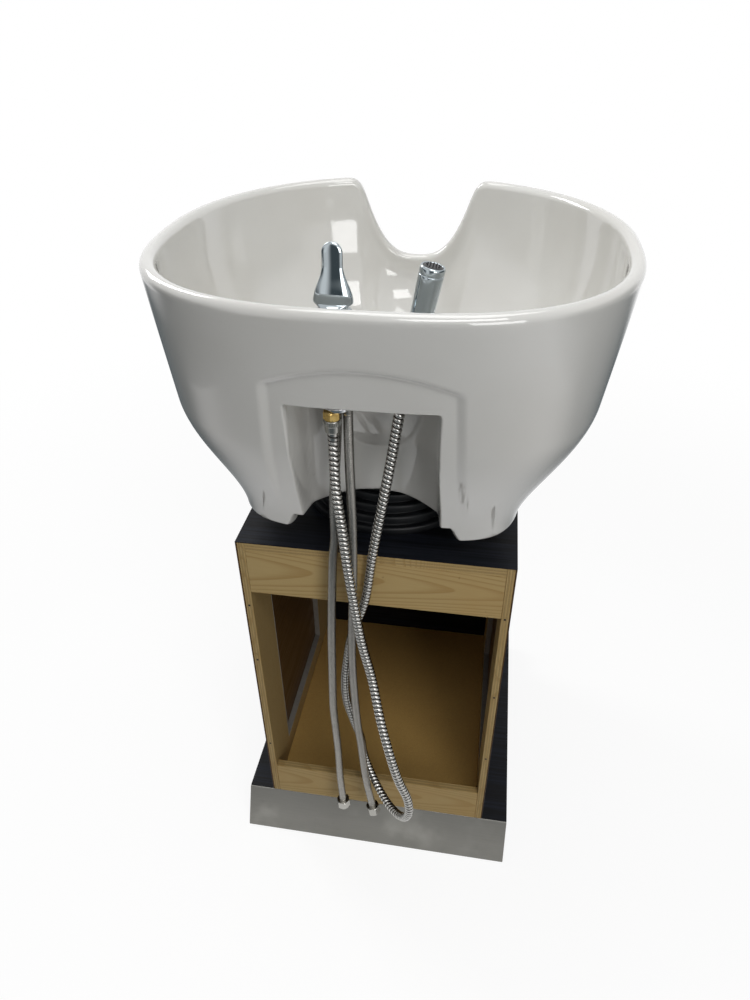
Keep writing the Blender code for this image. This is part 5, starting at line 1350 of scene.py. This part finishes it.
def makeSpray(s):
    start = s["holderHeight"] - s["socketDepth"] + clear
    end = start + s["length"]
    r = s["radius"]
    inside = r - s["wall"]
    corners = [(inside, end - s["face"], 0), (inside, end - 0.0006, 0.0004), (r - 0.0011, end, 0.0006),
               (r, end - 0.0018, 0.0012), (r, end - 0.0070, 0.0003), (r - 0.0006, end - 0.0074, 0.0002),
               (r - 0.0006, end - 0.0084, 0.0002), (r, end - 0.0088, 0.0004), (r * 0.99, end - 0.020, 0.006),
               (r * s["waist"], (start + end) / 2, 0.02), (r, start + s["socketDepth"] + 0.004, 0.006),
               (r, start, 0.0005), (s["neck"], start, 0.0003), (s["neck"], start + 0.003, 0.0003),
               (inside * s["waist"], start + 0.006, 0.001)]
    handle = lathe("sprayHandle", corners, lean, finishes["darkChrome"], steps=80)
    settle(handle, "spray", "chrome", "spray_handle")
    faceTop = end - clear
    rim = inside - clear
    corners = [(0, faceTop + 0.0006, 0), (rim * 0.82, faceTop + 0.0004, 0.001),
               (rim * 0.90, faceTop - 0.0004, 0.0004), (rim, faceTop - 0.0003, 0.0003),
               (rim, faceTop - s["face"], 0.0003), (0, faceTop - s["face"], 0)]
    face = lathe("sprayFace", corners, lean, finishes["plastic"], closed=False, steps=72)
    settle(face, "spray", "black_plastic", "spray_face")
    points = onRings(s["nozzleRings"], faceTop)
    jets = scattered("sprayNozzles", points, s["nozzle"], s["nozzle"] * s["nozzleTaper"], s["nozzleHeight"],
                     s["nozzleSides"], finishes["rubber"], lean)
    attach(jets, "spray")


makeMixer(mixerSize)
makeLever(leverSize, mixerSize["dome"])
makeHolder(spraySize)
makeSpray(spraySize)
print("tap and spray done")


# Nail heads along the side sheets' near edges

nails = {
    "left": (0.130, 0.330, 0.440), "right": (0.165, 0.310, 0.465),        # up from the sheet's foot
    "radius": 0.0016, "stands": 0.0004, "sides": 20,
}


def makeNails(n):
    turn = Matrix.Rotation(math.pi / 2, 4, "X")        # the heads face the near side
    for side in ("left", "right"):
        low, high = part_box("side_panel_" + side)
        points = [((low.x + high.x) / 2, low.z + up, -low.y) for up in n[side]]
        heads = scattered("nailHeads_" + side, points, n["radius"], n["radius"], n["stands"], n["sides"],
                          finishes["iron"], turn)
        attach(heads, "base")


makeNails(nails)
print("nail heads done")


# Floor, cards and light

stage = {
    "nearGlow": 1.12, "farGlow": 1.0, "nearWhite": 0.78, "fade": (0.8, 2.2), "ambient": 0.13,
    "floorSize": 14, "floorDrop": 0.0002, "cardTone": (0.095, 0.115, 0.125), "cardEdge": 0.30,
    "cards": (
        ((-0.6, -1.7, 0.03), (-0.6, -1.7, 1.0), (4.6, 3.2)),
        ((0.1, -2.9, 1.0), (0, 0, 0.8), (3.2, 2.6)),
        ((-1.6, -0.5, 0.6), (0, 0, 0.8), (2.4, 1.8)),
        ((1.6, 0.1, 0.75), (0, 0, 0.75), (2.6, 1.9)),
        ((-1.4, 0.9, 0.03), (-1.4, 0.9, 1.0), (2.6, 3.0)),
        ((1.4, 0.9, 0.03), (1.4, 0.9, 1.0), (2.6, 3.0)),
    ),
    "lights": {
        "overhead": ((0.05, 0.15, 2.5), (0, 0, 0.9), (1.3, 1.0), 12),
        "windowLeft": ((-1.3, 0.7, 1.9), (0, 0, 0.85), (0.5, 0.9), 11),
        "ceilingFront": ((0.5, -1.4, 2.5), (0, -0.1, 0.5), (1.2, 0.7), 13),
        "keyFront": ((1.15, -1.95, 1.25), (0, -0.1, 0.45), (0.9, 0.9), 11),
        "fillLeft": ((-1.4, -1.6, 1.2), (0, -0.1, 0.5), (1.0, 1.0), 0.5),
    },
}


def plane(name, sizeX, sizeY, matrix, material):
    mesh = bpy.data.meshes.new(name)
    x, y = sizeX / 2, sizeY / 2
    mesh.from_pydata([(-x, -y, 0), (x, -y, 0), (x, y, 0), (-x, y, 0)], [], [(0, 1, 2, 3)])
    made = addObject(name, mesh, material)
    made.matrix_world = matrix
    return made


def seenDirectly(net):
    # 1 for what the camera, a mirror or glass sees of the surroundings
    path = net.add("ShaderNodeLightPath", out="Is Camera Ray")
    return path.sum("MAXIMUM", path.other("Is Glossy Ray")).sum("MAXIMUM", path.other("Is Transmission Ray"))


def floorFinish():
    # Near the object the floor takes a shadow; further off it fades into the white
    made, net, shader = newMaterial("paleFloor", {"Roughness": 0.9, "Specular IOR Level": 0.0})
    seen = seenDirectly(net)
    at = net.place()
    tone = net.mix(net.noise(at, 3.0, 2.0), shade(0.80, 0.80, 0.80), shade(0.84, 0.84, 0.84))
    net.feed(shader, {"Base Color": net.mix(seen, shade(0.40, 0.40, 0.40), tone)})
    away = net.add("ShaderNodeVectorMath", {"operation": "LENGTH"}, {0: at}, "Value").smooth(*stage["fade"])
    near, far = stage["nearGlow"], stage["farGlow"]
    glow = net.add("ShaderNodeEmission", sockets={
        "Color": net.mix(away, shade(near, near, near), shade(far, far, far)), "Strength": 1.0})
    white = away * (1 - stage["nearWhite"]) + stage["nearWhite"]
    plain = Value(net, shader.outputs[0])
    both = net.add("ShaderNodeMixShader", sockets={0: seen * white, 1: plain, 2: glow})
    net.feed(made.node_tree.nodes["Material Output"], {"Surface": both})
    return made


def cardFinish():
    # A grey card whose edges melt away, so that it leaves no outline in the glaze
    made, net, shader = newMaterial("greyCard", {"Base Color": shade(0, 0, 0), "Specular IOR Level": 0.0})
    net.feed(shader, {"Emission Color": shade(*stage["cardTone"]), "Emission Strength": 1.0})
    part = net.split(net.add("ShaderNodeTexCoord", out="Generated"))
    x, y = [(0.5 - (part[axis] - 0.5).size()).smooth(0.0, stage["cardEdge"]) for axis in "xy"]
    clearer = net.add("ShaderNodeBsdfTransparent")
    both = net.add("ShaderNodeMixShader", sockets={0: x * y, 1: clearer, 2: Value(net, shader.outputs[0])})
    net.feed(made.node_tree.nodes["Material Output"], {"Surface": both})
    return made


def makeWorld():
    world = bpy.data.worlds.new("studio")
    world.use_nodes = True
    scene.world = world
    net = Net(world.node_tree)
    soft = Value(net, world.node_tree.nodes["Background"].outputs[0])
    net.feed(world.node_tree.nodes["Background"], {"Color": shade(1, 1, 1), "Strength": stage["ambient"]})
    white = net.add("ShaderNodeBackground", sockets={"Color": shade(1, 1, 1), "Strength": 1.0})
    both = net.add("ShaderNodeMixShader", sockets={0: seenDirectly(net), 1: soft, 2: white})
    net.feed(world.node_tree.nodes["World Output"], {"Surface": both})


def lookAt(at, target):
    turn = (Vector(at) - Vector(target)).to_track_quat("Z", "Y").to_matrix().to_4x4()
    return Matrix.Translation(at) @ turn


def areaLight(name, at, target, size, power):
    data = bpy.data.lights.new(name, "AREA")
    data.shape = "RECTANGLE"
    data.size, data.size_y = size
    data.energy = power
    made = linked(name, data)
    made.matrix_world = lookAt(at, target)


def makeStage():
    wide = stage["floorSize"]
    low = Matrix.Translation((0, 0, cadBox[0][2] - stage["floorDrop"]))
    plane("floor", wide, wide, low, floorFinish())
    grey = cardFinish()
    for i, (at, target, size) in enumerate(stage["cards"]):
        card = plane("greyCard_" + str(i + 1), *size, lookAt(at, target), grey)
        card.visible_camera = False
        card.visible_diffuse = False
        card.visible_shadow = False
        card.visible_transmission = False
    for name, (at, target, size, power) in stage["lights"].items():
        areaLight(name, at, target, size, power)
    makeWorld()
    scene.view_settings.view_transform = "Standard"


makeStage()
print("stage set")
